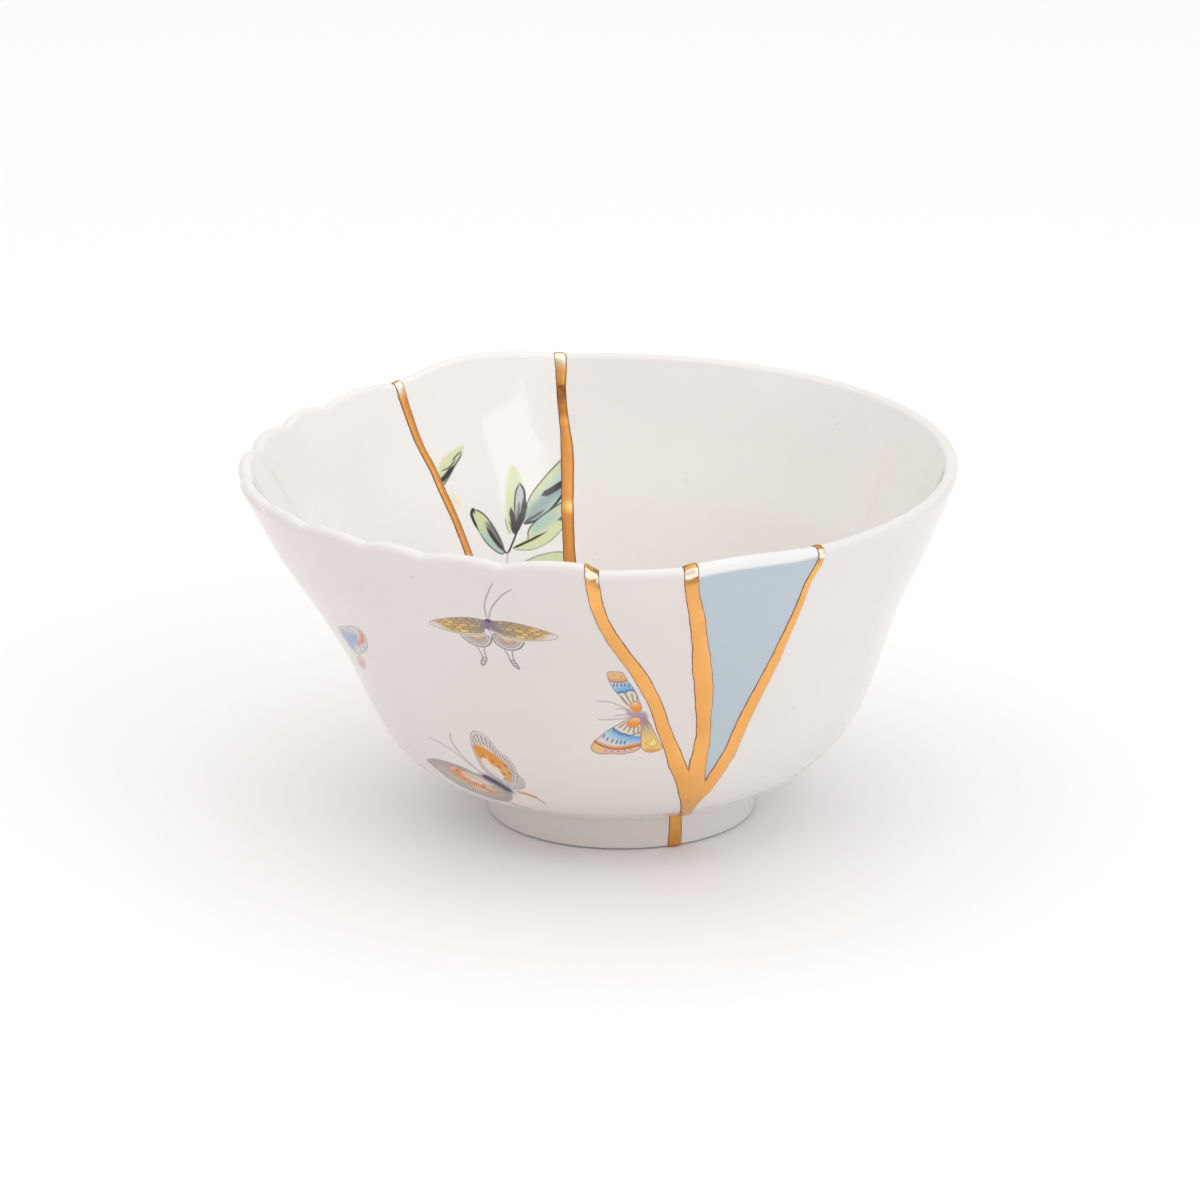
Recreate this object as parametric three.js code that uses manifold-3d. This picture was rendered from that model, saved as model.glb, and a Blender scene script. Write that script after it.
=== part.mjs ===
import * as THREE from 'three';
import { mergeVertices } from 'three/addons/utils/BufferGeometryUtils.js';
import Module from 'manifold-3d';

// A porcelain bowl made of five shards that lines of gold join. Millimetres, +Z up.
// The origin is on the ground under the middle of the bowl's outline. Every number below is
// measured from the middle of the foot ring, which stands at FOOT_CENTRE, because the left
// side flares more than the right. A bearing is an angle about the vertical, 0 at the front
// (-Y) and positive towards +X. A height is measured from the ground.

const wasm = await Module();
wasm.setup();

const FOOT_CENTRE = [4.69, 0.32];

// Outer wall of the body above the foot: height, radius, and how far the circle at that
// height is set off towards -X, because the left side flares more than the right.
const WALL = [
  [6.9, 27.2, 0.0],
  [8.4, 32.2, 0.2],
  [10.5, 37.6, 1.1],
  [14.0, 42.9, 1.2],
  [19.0, 47.3, 1.0],
  [26.0, 51.2, 0.9],
  [35.0, 54.8, 1.4],
  [46.0, 59.8, 2.8],
  [58.0, 66.4, 4.0],
  [72.0, 72.7, 4.9],
  [79.0, 75.4, 5.1],
];
const WALL_FOOT_HEIGHT = WALL[0][0];

// Wall thickness by height.
const THICKNESS = [
  [6.0, 4.2],
  [14.0, 3.8],
  [26.0, 3.4],
  [46.0, 3.1],
  [79.0, 2.8],
];

// Foot ring and underside, from the middle outwards: radius and height.
const RECESS_DEPTH = 3.8;
const FOOT = [
  [19.8, RECESS_DEPTH],
  [21.4, 2.2],
  [22.8, 0.0],
  [27.0, 0.0],
  [27.5, 0.5],
  [27.5, 2.6],
];
const FLOOR_HEIGHT = 8.2;    // inside of the bowl, in the middle

// Rim: each shard's own crest, as bearing and height, from one seam to the next.
const SEAM_AT_RIM = { A: -144.8, C: -0.6, D: 14.5, E: 37.6, B: 186.0 };
const RIM = {
  scalloped: [[-144.8, 72.2], [-127, 72.0], [-114.2, 71.9], [-100.6, 72.0], [-85.2, 72.4],
    [-67.4, 73.3], [-53.4, 74.0], [-38.9, 74.6], [-27.7, 74.7], [-14.7, 74.6], [-0.6, 75.1]],
  wedge: [[-0.6, 73.9], [14.5, 73.9]],
  blue: [[14.5, 74.4], [23, 75.2], [37.6, 74.2]],
  plain: [[37.6, 74.2], [60, 74.5], [110, 74.8], [186, 74.8]],
  leaf: [[186, 74.8], [193, 75.7], [200, 76.0], [205, 75.6], [211, 74.2], [215.2, 73.0]],
};
const SCALLOP_RISE = 1.2;    // top of a scallop over the notches at its ends
const SCALLOP_SWELL = 0.2;   // how far a scallop's lip stands out past the notches
const SCALLOP_FADE = 9;      // height over which that swell dies out below the rim

// Seams down the wall: bearing, height and width at each point, from the rim down.
const WALL_SEAMS = {
  C: [[-0.8, 80, 2.9], [-0.75, 72, 2.9], [-0.25, 66.2, 2.8], [1.1, 60.4, 2.8], [3.6, 54.4, 3.0],
    [6.5, 48, 3.1], [8.6, 42, 3.0], [10, 36, 2.9], [12, 30, 3.2], [13.6, 25.9, 3.2],
    [15.6, 21.8, 3.1], [17.1, 18.4, 2.8], [18.9, 15, 2.4]],
  D: [[14.2, 80, 3.1], [14.6, 72, 3.0], [15.1, 67.2, 3.0], [16.2, 61.3, 3.3], [17, 55.3, 3.5],
    [17.6, 51.1, 4.0], [18.2, 47, 4.2], [18.6, 41, 3.8], [18.6, 37.1, 3.3], [18.65, 33.2, 3.2],
    [18.5, 29.3, 3.5], [18.1, 25.4, 3.5], [18.8, 22, 3.2], [19.4, 18.4, 2.9], [19.8, 15, 2.6]],
  E: [[37.9, 80, 1.9], [36.8, 71, 1.9], [35.5, 66.9, 1.8], [35.1, 63.2, 2.0], [34.2, 57.7, 2.2],
    [33.35, 52.1, 2.6], [32.6, 48.2, 2.9], [31.6, 44.6, 2.9], [30.1, 41, 3.0], [28.5, 37.4, 3.0],
    [26.7, 32, 3.1], [25.5, 28.3, 3.1], [24.1, 24.6, 3.4], [22.9, 21.5, 3.2], [21.8, 18, 2.8],
    [20.9, 15, 2.4]],
  A: [[-144.9, 80, 2.0], [-143.55, 70, 2.2], [-143.65, 63.6, 2.1], [-144, 58.7, 1.9],
    [-144.8, 54, 1.9], [-145, 50, 1.9], [-145.55, 43, 1.9], [-145.6, 36, 1.8], [-146.2, 26, 1.9],
    [-145.6, 15, 2.0]],
  B: [[-173.9, 80, 2.7], [-173.7, 72, 2.6], [-173.4, 68, 2.2], [-173.2, 61.7, 2.1],
    [-173.2, 56, 2.7], [-172.7, 52.3, 2.8], [-171.7, 46.5, 2.7], [-170.5, 40.5, 2.6],
    [-169.6, 34.4, 2.7], [-168.8, 26, 2.5], [-168.1, 15, 2.2]],
};

// Seams across the floor, foot ring and underside, as seen from above: x, y and width.
const HUB = [-2, 8];
const FLOOR_SEAMS = {
  front: [[15.7, -44.6, 7.0], [14.6, -40.6, 3.7], [13.6, -35.1, 2.9], [12.6, -29.9, 2.7],
    [10.6, -24.4, 2.9], [5.5, -9, 2.4], [...HUB, 2.4]],
  A: [[-27.4, 38.2, 2.0], [-18, 25, 2.0], [...HUB, 2.2]],
  B: [[-9.9, 45.6, 2.1], [-6, 27, 2.1], [...HUB, 2.2]],
};
const HUB_RADIUS = 1.6;
const FLOOR_SEAM_TOP = 25;   // above the inner wall where these seams start
const REACH_OUT = 3;         // a wall seam's cut goes this far out of the outer face
const REACH_IN = 9;          // and this far in from it, past the inner face

const SEAM_PROUD = 0.4;      // gold stands this far out of the porcelain
const SEAM_GAP = 0.3;        // clearance between gold and shard

// How finely the round body is divided.
const SCALLOP_STEPS = [0, 0.15, 0.37, 0.63, 0.85];
const COLUMN_STEP = { wedge: 5, blue: 5, plain: 6.0, leaf: 4 };   // degrees
const SEAM_PAIR = 0.4;       // degrees from a seam to the columns beside it
const OUTER_ROWS = [0, 0.022, 0.055, 0.1, 0.16, 0.24, 0.36, 0.5, 0.66, 0.84, 1];
const INNER_ROWS = [1, 0.8, 0.56, 0.36, 0.2, 0.1, 0.04, 0];
const LIP_ROWS = [40, 80, 118, 150];   // degrees round the lip, from the outer face
const FLOOR_ROWS = [0.55];
const SEAM_STATIONS = 10;
const LIP_ZONE = 8;          // height below the top in which a piece is told apart

const PORCELAIN = { color: 0xf3efe9, roughness: 0.12, metalness: 0 };
const BLUE = { color: 0xbccbd6, roughness: 0.12, metalness: 0 };
const GOLD = { color: 0xe0a45c, roughness: 0.2, metalness: 1 };

const rad = THREE.MathUtils.degToRad;

// Smooth curve through stations [x, value, ...]: cubic pieces whose slope at each station is
// the mean slope between its two neighbours.
function smoothAt(stations, x, column = 1) {
  const last = stations.length - 1;
  let i = 0;
  while (i < last - 1 && x > stations[i + 1][0]) i += 1;
  const slope = (k) => {
    const a = stations[Math.max(k - 1, 0)];
    const b = stations[Math.min(k + 1, last)];
    return (b[column] - a[column]) / (b[0] - a[0]);
  };
  const [p, q] = [stations[i], stations[i + 1]];
  const step = q[0] - p[0];
  const t = THREE.MathUtils.clamp((x - p[0]) / step, 0, 1);
  const t2 = t * t;
  const t3 = t2 * t;
  return (2 * t3 - 3 * t2 + 1) * p[column] + (t3 - 2 * t2 + t) * step * slope(i)
    + (3 * t2 - 2 * t3) * q[column] + (t3 - t2) * step * slope(i + 1);
}

function shardAtRim(bearing) {
  const turned = bearing < SEAM_AT_RIM.A ? bearing + 360 : bearing;
  if (turned < SEAM_AT_RIM.C) return ['scalloped', turned];
  if (turned < SEAM_AT_RIM.D) return ['wedge', turned];
  if (turned < SEAM_AT_RIM.E) return ['blue', turned];
  if (turned < SEAM_AT_RIM.B) return ['plain', turned];
  return ['leaf', turned];
}

// 0 in the notches and 1 at the middle of a scallop, with round tops.
function scallop(bearing) {
  const [shard, turned] = shardAtRim(bearing);
  if (shard !== 'scalloped') return 0;
  const notches = RIM.scalloped.map(([b]) => b);
  const i = Math.max(0, notches.findLastIndex((b) => b <= turned));
  const u = (turned - notches[i]) / (notches[i + 1] - notches[i]);
  return 1 - Math.abs(2 * u - 1) ** 2.2;
}

function crestHeight(bearing) {
  const [shard, turned] = shardAtRim(bearing);
  return smoothAt(RIM[shard], turned) + SCALLOP_RISE * scallop(bearing);
}

// The wall's section at a height: radius, slope angle from the vertical, and thickness.
function section(bearing, height) {
  const crest = crestHeight(bearing);
  const fade = THREE.MathUtils.smoothstep(height, crest - SCALLOP_FADE, crest);
  const spread = smoothAt(WALL, height + 0.5) - smoothAt(WALL, height - 0.5);
  return {
    radius: smoothAt(WALL, height) + SCALLOP_SWELL * scallop(bearing) * fade,
    slope: Math.atan2(spread, 1),
    thickness: smoothAt(THICKNESS, height),
    offset: smoothAt(WALL, height, 2),
  };
}

function place(bearing, radius, height, offset) {
  const b = rad(bearing);
  return new THREE.Vector3(radius * Math.sin(b) - offset, -radius * Math.cos(b), height);
}

// Height at which the outer wall turns into the round lip.
function lipStart(bearing) {
  const crest = crestHeight(bearing);
  const { slope, thickness } = section(bearing, crest - 2);
  return crest - (thickness / 2) * (1 + Math.sin(slope));
}

// A point of the wall: depth 0 is the outer face and depth 1 the inner face.
function wallPoint(bearing, height, depth) {
  const { radius, slope, thickness, offset } = section(bearing, height);
  const t = thickness * depth;
  return place(bearing, radius - t * Math.cos(slope), height + t * Math.sin(slope), offset);
}

// A row of the wall, at a fraction of the way from the foot to the lip.
function wallRow(fraction, depth) {
  return (bearing) => {
    const height = THREE.MathUtils.lerp(WALL_FOOT_HEIGHT, lipStart(bearing), fraction);
    return wallPoint(bearing, height, depth);
  };
}

// A point of the half-round lip, degrees round from the outer face.
function lipRow(degrees) {
  return (bearing) => {
    const start = lipStart(bearing);
    const { radius, slope, thickness, offset } = section(bearing, start);
    const r = thickness / 2;
    const a = rad(degrees) - slope;
    const across = radius - r * Math.cos(slope) + r * Math.cos(a);
    return place(bearing, across, start + r * Math.sin(slope) + r * Math.sin(a), offset);
  };
}

function footRow([radius, height]) {
  return (bearing) => place(bearing, radius, height, 0);
}

// The floor rises from its middle to the foot of the inner wall, along a parabola.
function floorRow(fraction) {
  return (bearing) => {
    const edge = wallRow(0, 1)(bearing);
    const rise = (edge.z - FLOOR_HEIGHT) * fraction ** 2;
    return new THREE.Vector3(edge.x * fraction, edge.y * fraction, FLOOR_HEIGHT + rise);
  };
}

// Bearings of the mesh columns: fine on the scallops, coarse elsewhere, and a close pair on
// each side of a seam, where the rim steps from one shard to the next.
function columns() {
  const list = [];
  const notches = RIM.scalloped.map(([b]) => b);
  for (let i = 0; i < notches.length - 1; i += 1) {
    for (const u of SCALLOP_STEPS) list.push(THREE.MathUtils.lerp(notches[i], notches[i + 1], u));
  }
  list[0] += SEAM_PAIR;
  list.push(SEAM_AT_RIM.C - SEAM_PAIR);
  for (const shard of ['wedge', 'blue', 'plain', 'leaf']) {
    const start = RIM[shard][0][0] + SEAM_PAIR;
    const end = RIM[shard].at(-1)[0] - SEAM_PAIR;
    const steps = Math.ceil((end - start) / COLUMN_STEP[shard]);
    for (let k = 0; k <= steps; k += 1) list.push(THREE.MathUtils.lerp(start, end, k / steps));
  }
  return list;
}

// Closed skin over rows of points, with a single point at each end.
function skin(rows, bearings, first, last) {
  const points = [first];
  for (const row of rows) for (const b of bearings) points.push(row(b));
  points.push(last);
  const n = bearings.length;
  const faces = [];
  for (let k = 0; k < n; k += 1) {
    const next = (k + 1) % n;
    faces.push(0, 1 + next, 1 + k);
    for (let j = 0; j < rows.length - 1; j += 1) {
      const a = 1 + j * n;
      faces.push(a + k, a + next, a + n + next, a + k, a + n + next, a + n + k);
    }
    const end = 1 + (rows.length - 1) * n;
    faces.push(end + k, end + next, points.length - 1);
  }
  return meshOf(points, faces);
}

function meshOf(points, faces) {
  const geometry = new THREE.BufferGeometry().setFromPoints(points);
  geometry.setIndex(faces);
  return geometry;
}

function bowlSkin() {
  const rows = [
    ...FOOT.map(footRow),
    ...OUTER_ROWS.map((w) => wallRow(w, 0)),
    ...LIP_ROWS.map(lipRow),
    ...INNER_ROWS.map((w) => wallRow(w, 1)),
    ...FLOOR_ROWS.map(floorRow),
  ];
  const under = new THREE.Vector3(0, 0, RECESS_DEPTH);
  const inside = new THREE.Vector3(0, 0, FLOOR_HEIGHT);
  return skin(rows, columns(), under, inside);
}

// The same skin moved out along its normals, but never below the ground.
function swollen(geometry, amount) {
  const copy = geometry.clone();
  copy.computeVertexNormals();
  const p = copy.getAttribute('position');
  const n = copy.getAttribute('normal');
  for (let i = 0; i < p.count; i += 1) {
    const z = p.getZ(i) + amount * n.getZ(i);
    p.setXYZ(i, p.getX(i) + amount * n.getX(i), p.getY(i) + amount * n.getY(i), Math.max(z, 0));
  }
  return copy;
}

function solidOf(geometry) {
  const clean = geometry.clone();
  clean.deleteAttribute('normal');
  clean.deleteAttribute('uv');
  const merged = mergeVertices(clean, 1e-4);
  const build = (triVerts) => new wasm.Manifold(new wasm.Mesh({
    numProp: 3,
    vertProperties: new Float32Array(merged.getAttribute('position').array),
    triVerts,
  }));
  const triVerts = new Uint32Array(merged.index.array);
  const solid = build(triVerts);
  return solid.volume() > 0 ? solid : build(triVerts.toReversed());
}

function geometryOf(solid) {
  const mesh = solid.getMesh();
  const corners = new THREE.BufferAttribute(new Float32Array(mesh.vertProperties), 3);
  const geometry = new THREE.BufferGeometry();
  geometry.setAttribute('position', corners);
  geometry.setIndex(new THREE.BufferAttribute(new Uint32Array(mesh.triVerts), 1));
  return geometry;
}

// A bar with a four-cornered section at each station, closed at both ends.
function bar(sections) {
  const points = sections.flat();
  const faces = [0, 2, 1, 0, 3, 2];
  for (let i = 0; i < sections.length - 1; i += 1) {
    for (let k = 0; k < 4; k += 1) {
      const a = 4 * i + k;
      const b = 4 * i + ((k + 1) % 4);
      faces.push(a, b, b + 4, a, b + 4, a + 4);
    }
  }
  const e = 4 * (sections.length - 1);
  faces.push(e, e + 1, e + 2, e, e + 2, e + 3);
  return solidOf(meshOf(points, faces));
}

// A seam down the wall, as a bar that goes right through the wall towards the bowl's axis.
function wallCutter(path, extra) {
  const points = path.map(([bearing, height]) => wallPoint(bearing, height, 0));
  return bar(path.map(([bearing, , width], i) => {
    const out = new THREE.Vector3(Math.sin(rad(bearing)), -Math.cos(rad(bearing)), 0);
    const along = points[Math.min(i + 1, path.length - 1)].clone().sub(points[Math.max(i - 1, 0)]);
    const side = along.cross(out).normalize();
    const half = width / 2 + extra;
    const corner = (s, reach) => points[i].clone()
      .addScaledVector(side, s * half)
      .addScaledVector(out, reach);
    return [corner(-1, REACH_OUT), corner(1, REACH_OUT), corner(1, -REACH_IN), corner(-1, -REACH_IN)];
  }));
}

// A seam across the bottom, as an upright bar through floor and foot.
function floorCutter(path, extra) {
  return bar(path.map(([x, y, width], i) => {
    const [ax, ay] = path[Math.max(i - 1, 0)];
    const [bx, by] = path[Math.min(i + 1, path.length - 1)];
    const side = new THREE.Vector3(ay - by, bx - ax, 0).normalize();
    const half = width / 2 + extra;
    const corner = (s, z) => new THREE.Vector3(x, y, z).addScaledVector(side, s * half);
    return [corner(-1, FLOOR_SEAM_TOP), corner(1, FLOOR_SEAM_TOP), corner(1, -1), corner(-1, -1)];
  }));
}

// The stations of a wall seam, evenly spaced in height along a smooth line.
function evenly(path) {
  const rising = path.map(([bearing, height, width]) => [height, bearing, width]).toReversed();
  const list = [];
  for (let i = 0; i < SEAM_STATIONS; i += 1) {
    const height = THREE.MathUtils.lerp(path[0][1], path.at(-1)[1], i / (SEAM_STATIONS - 1));
    list.push([smoothAt(rising, height, 1), height, smoothAt(rising, height, 2)]);
  }
  return list;
}

// A round post where the seams across the bottom meet.
function hubCutter(extra) {
  const radius = HUB_RADIUS + extra;
  const post = new THREE.CylinderGeometry(radius, radius, 2 * FLOOR_SEAM_TOP, 12);
  post.rotateX(Math.PI / 2);
  post.translate(...HUB, 0);
  return solidOf(post);
}

function allCutters(extra) {
  const parts = [
    ...Object.values(WALL_SEAMS).map((path) => wallCutter(evenly(path), extra)),
    ...Object.values(FLOOR_SEAMS).map((path) => floorCutter(path, extra)),
    hubCutter(extra),
  ];
  return parts.reduce((sum, next) => sum.add(next));
}

function named(name, geometry, finish) {
  const mesh = new THREE.Mesh(geometry, new THREE.MeshStandardMaterial(finish));
  mesh.name = name;
  return mesh;
}

// Which shard a piece is, from the mean bearing of its corners near the rim.
function shardName(geometry) {
  const corners = geometry.getAttribute('position');
  const lipZone = new THREE.Box3().setFromBufferAttribute(corners).max.z - LIP_ZONE;
  const mean = new THREE.Vector3();
  for (let i = 0; i < corners.count; i += 1) {
    const corner = new THREE.Vector3().fromBufferAttribute(corners, i);
    if (corner.z > lipZone) mean.add(corner);
  }
  return shardAtRim(THREE.MathUtils.radToDeg(Math.atan2(mean.x, -mean.y)))[0];
}

const bowl = bowlSkin();
const body = solidOf(bowl);
const shards = body.subtract(allCutters(SEAM_GAP)).decompose();
const gold = solidOf(swollen(bowl, SEAM_PROUD)).intersect(allCutters(0));

const kintsugi = new THREE.Group();
for (const shard of shards) {
  const geometry = geometryOf(shard);
  const name = shardName(geometry);
  kintsugi.add(named(`shard_${name}`, geometry, name === 'blue' ? BLUE : PORCELAIN));
}
kintsugi.add(named('gold_seams', geometryOf(gold), GOLD));

kintsugi.position.set(...FOOT_CENTRE, 0);

export default kintsugi;
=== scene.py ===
import math

import bpy
import numpy as np
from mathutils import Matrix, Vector


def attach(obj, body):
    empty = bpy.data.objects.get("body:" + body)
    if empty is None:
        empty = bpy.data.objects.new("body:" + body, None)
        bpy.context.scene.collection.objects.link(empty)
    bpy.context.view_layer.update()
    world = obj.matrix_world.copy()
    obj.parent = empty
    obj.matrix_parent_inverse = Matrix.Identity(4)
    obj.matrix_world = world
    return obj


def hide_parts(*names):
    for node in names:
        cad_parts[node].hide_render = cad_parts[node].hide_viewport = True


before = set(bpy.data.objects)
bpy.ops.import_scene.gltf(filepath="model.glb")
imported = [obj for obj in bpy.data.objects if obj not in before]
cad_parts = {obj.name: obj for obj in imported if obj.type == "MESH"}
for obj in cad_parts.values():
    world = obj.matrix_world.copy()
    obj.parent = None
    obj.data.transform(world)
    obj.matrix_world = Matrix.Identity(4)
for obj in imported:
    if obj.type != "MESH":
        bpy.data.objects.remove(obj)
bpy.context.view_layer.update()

# A porcelain bowl of five shards joined with gold, painted with butterflies and a leafy
# sprig. Shapes are worked out in millimetres from the middle of the foot ring, which stands
# at FOOT_CENTRE. A bearing is an angle about the vertical, 0 at the front (-Y) and positive
# towards +X. Along a section of the bowl t runs 0-1 under the foot, 1-2 round the foot ring,
# 2-3 up the outer wall, 3-4 over the lip, 4-5 down the inner wall and 5-6 across the floor.

MM = 0.001
FOOT_CENTRE = (4.69, 0.32)

# Outer wall: height, radius, and how far its circle is set off towards -X.
WALL = [
    (6.9, 27.2, 0.0), (8.4, 32.2, 0.2), (10.5, 37.6, 1.1), (14.0, 42.9, 1.2), (19.0, 47.3, 1.0),
    (26.0, 51.2, 0.9), (35.0, 54.8, 1.4), (46.0, 59.8, 2.8), (58.0, 66.4, 4.0), (72.0, 72.7, 4.9),
    (79.0, 75.4, 5.1),
]
WALL_FOOT = 8.0              # height at which the wall starts above the foot ring
THICKNESS = [(6.0, 4.2), (14.0, 3.8), (26.0, 3.4), (46.0, 3.1), (79.0, 2.8)]   # by height

# Foot ring from the recess outwards: radius, height, offset, and length cut off the corner.
RECESS_RADIUS = 19.0
RECESS_HEIGHT = 3.8
FOOT_LIFT = 0.06             # the porcelain stands this far up on its gold lines
FOOT = [
    (RECESS_RADIUS, RECESS_HEIGHT, 0.0, 0.0), (20.3, RECESS_HEIGHT, 0.0, 1.0),
    (22.5, FOOT_LIFT, 0.0, 0.7), (27.4, FOOT_LIFT, 0.0, 0.5), (27.5, 3.2, 0.0, 1.0),
    (27.3, 7.4, 0.0, 1.1),
]
FLOOR_HEIGHT = 8.2
HUB = (-2.0, 8.0)            # where the seams across the bottom meet

# Crest of each shard's rim, as bearing and height. The scalloped stations are its notches.
RIM = {
    "scalloped": [(-144.8, 72.2), (-127, 72.0), (-114.2, 71.9), (-100.6, 72.0), (-85.2, 72.4),
                  (-67.4, 73.3), (-53.4, 74.0), (-38.9, 74.6), (-27.7, 74.7), (-14.7, 74.6),
                  (-0.6, 75.1)],
    "wedge": [(-0.6, 73.9), (14.5, 73.9)],
    "blue": [(14.5, 74.4), (23, 75.2), (37.6, 74.2)],
    "plain": [(37.6, 74.2), (60, 74.5), (110, 74.8), (186, 74.8)],
    "leaf": [(186, 74.8), (193, 75.7), (200, 76.0), (205, 75.6), (211, 74.2), (215.2, 73.0)],
}
SCALLOP_RISE = 1.2
SCALLOP_SWELL = 0.2
SCALLOP_FADE = 9.0            # the swell dies out this far below the crest
SCALLOP_POWER = 2.2

# Seams: level, bearing and width. A level is a height on the wall, and runs from 0 to
# WALL_FOOT round the foot ring.
SEAMS = {
    "C": [(15, 18.9, 2.4), (18.4, 17.1, 2.8), (21.8, 15.6, 3.1), (25.9, 13.6, 3.5), (30, 12, 3.2),
          (36, 10, 2.9), (42, 8.6, 3.0), (48, 6.5, 3.1), (54.4, 3.6, 3.0), (60.4, 1.1, 2.8),
          (66.2, -0.25, 2.8), (72, -0.75, 2.9), (80, -0.8, 2.9)],
    "D": [(15, 19.8, 2.6), (18.4, 19.4, 2.9), (22, 18.8, 3.2), (25.4, 18.1, 3.8), (29.3, 18.5, 3.5),
          (33.2, 18.65, 3.2), (37.1, 18.6, 3.3), (41, 18.6, 3.8), (47, 18.2, 4.2), (51.1, 17.6, 4.0),
          (55.3, 17, 3.5), (61.3, 16.2, 3.3), (67.2, 15.1, 3.0), (72, 14.6, 3.0), (80, 14.2, 3.1)],
    "E": [(15, 20.9, 2.4), (18, 21.8, 2.8), (21.5, 22.9, 3.2), (24.6, 24.1, 3.4), (28.3, 25.5, 3.1),
          (32, 26.7, 3.1), (37.4, 28.5, 3.0), (41, 30.1, 3.0), (44.6, 31.6, 2.9), (48.2, 32.6, 2.9),
          (52.1, 33.35, 2.6), (57.7, 34.2, 2.2), (63.2, 35.1, 2.0), (66.9, 35.5, 1.8), (71, 36.8, 1.9),
          (80, 37.9, 1.9)],
    "B": [(0, 192.7, 2.2), (3.6, 192.6, 2.2), (7.2, 192.3, 2.1), (15, 191.9, 2.2), (26, 191.2, 2.5),
          (34.4, 190.4, 2.7), (40.5, 189.5, 2.6), (46.5, 188.3, 2.7), (52.3, 187.3, 2.8),
          (56, 186.8, 2.7), (61.7, 186.8, 2.1), (68, 186.6, 2.2), (72, 186.3, 2.6), (80, 186.1, 2.7)],
    "A": [(0, 212, 2.2), (3.6, 214.6, 2.1), (7.2, 215.6, 2.0), (15, 214.4, 2.0), (26, 213.8, 1.9),
          (36, 214.4, 1.8), (43, 214.45, 1.9), (50, 215, 1.9), (54, 215.2, 1.9), (58.7, 216, 1.9),
          (63.6, 216.35, 2.1), (70, 216.45, 2.2), (80, 215.1, 2.0)],
}
# The one seam into which C, D and E run.
FRONT = [(0, 22.6, 3.0), (3.6, 23.1, 3.1), (8, 23.6, 2.6), (10.5, 21.7, 2.8), (14.4, 19.8, 3.7),
         (16.4, 19.6, 5.1), (18.4, 19.45, 7.0), (20.1, 19.4, 8.3), (21.8, 19.3, 9.8), (24, 19.2, 11.0)]
FRONT_JOIN = (18.5, 24.0)    # levels between which C, D and E become its three strips

SHARDS = {"scalloped": ("A", "C"), "wedge": ("C", "D"), "blue": ("D", "E"), "plain": ("E", "B"),
          "leaf": ("B", "A")}
WOBBLE = [(0.035, 0.62, 2.1), (0.03, 1.43, 3.3)]     # size, radians per mm, shift
GOLD_HEIGHT = 0.36           # gold over porcelain
GOLD_EDGE = 0.9              # width over which the gold rises from its edge
GOLD_SINK = 0.04             # the edge lies this far under the porcelain
DOME_POWER = 2.4             # of the curve in which it rises
GOLD_FOLD = 0.35             # depth and width of the gold's flange under its edge
FOLD_FADE = 0.6              # section parameter over which the flange grows from the hub
OVERLAP = 0.25               # how far porcelain runs in under the gold
JOIN_OVERLAP = 1.04          # strips of the front seam run into each other by this much
TIP_WIDTH = 0.02             # a shard ends where it is no wider than this


def smoothstep(x, low, high):
    """0 up to low, 1 from high on, and between them 3 s^2 - 2 s^3 of the share s of the way."""
    s = np.clip((x - low) / (high - low), 0.0, 1.0)
    return s * s * (3 - 2 * s)


def between(x, low, high, soft):
    """1 from low to high, and 0 from a soft margin beyond them."""
    return smoothstep(x, low - soft, low) * (1 - smoothstep(x, high, high + soft))


def lerp(a, b, s):
    """The value a share s of the way from a to b."""
    return a + (b - a) * s


def smooth(stations, x, column=1):
    """Cubic curve through stations, with the slope at each that joins its two neighbours."""
    s = np.asarray(stations, float)
    x = np.asarray(x, float)
    last = len(s) - 1
    k = np.clip(np.searchsorted(s[:, 0], x) - 1, 0, last - 1)
    before, after = np.maximum(np.arange(last + 1) - 1, 0), np.minimum(np.arange(last + 1) + 1, last)
    slope = (s[after, column] - s[before, column]) / (s[after, 0] - s[before, 0])
    step = s[k + 1, 0] - s[k, 0]
    u = np.clip((x - s[k, 0]) / step, 0.0, 1.0)
    return ((2 * u**3 - 3 * u**2 + 1) * s[k, column] + (u**3 - 2 * u**2 + u) * step * slope[k]
            + (3 * u**2 - 2 * u**3) * s[k + 1, column] + (u**3 - u**2) * step * slope[k + 1])


def rounded(corners, steps=5):
    """Line through corners (..., cut), each bent into a parabola a cut's length either side."""
    points = [np.array(corners[0][:-1])]
    for before, corner, after in zip(corners, corners[1:], corners[2:]):
        p, cut = np.array(corner[:-1]), corner[-1]
        start = p + cut * unit(np.array(before[:-1]) - p)
        end = p + cut * unit(np.array(after[:-1]) - p)
        for s in np.linspace(0, 1, steps):
            points.append((1 - s) ** 2 * start + 2 * s * (1 - s) * p + s**2 * end)
    points.append(np.array(corners[-1][:-1]))
    return np.array(points)


def unit(v):
    """Each vector divided by its length."""
    return v / np.linalg.norm(v, axis=-1, keepdims=True)


# The foot's section, from the recess to the start of the wall.
WALL_START = (WALL_FOOT, float(smooth(WALL, WALL_FOOT)), float(smooth(WALL, WALL_FOOT, 2)))
FOOT_LINE = rounded(FOOT + [(WALL_START[1], WALL_START[0], WALL_START[2], 0.0)])
FOOT_T = np.insert(np.cumsum(np.linalg.norm(np.diff(FOOT_LINE, axis=0), axis=1)), 0, 0.0)
FOOT_T /= FOOT_T[-1]


def scallop(shard, bearing):
    """0 in the notches and 1 in the middle of a scallop, round on top."""
    if shard != "scalloped":
        return np.zeros_like(bearing)
    notches = np.array([b for b, _ in RIM[shard]])
    k = np.clip(np.searchsorted(notches, bearing) - 1, 0, len(notches) - 2)
    u = np.clip((bearing - notches[k]) / (notches[k + 1] - notches[k]), 0.0, 1.0)
    return 1 - np.abs(2 * u - 1) ** SCALLOP_POWER


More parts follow.
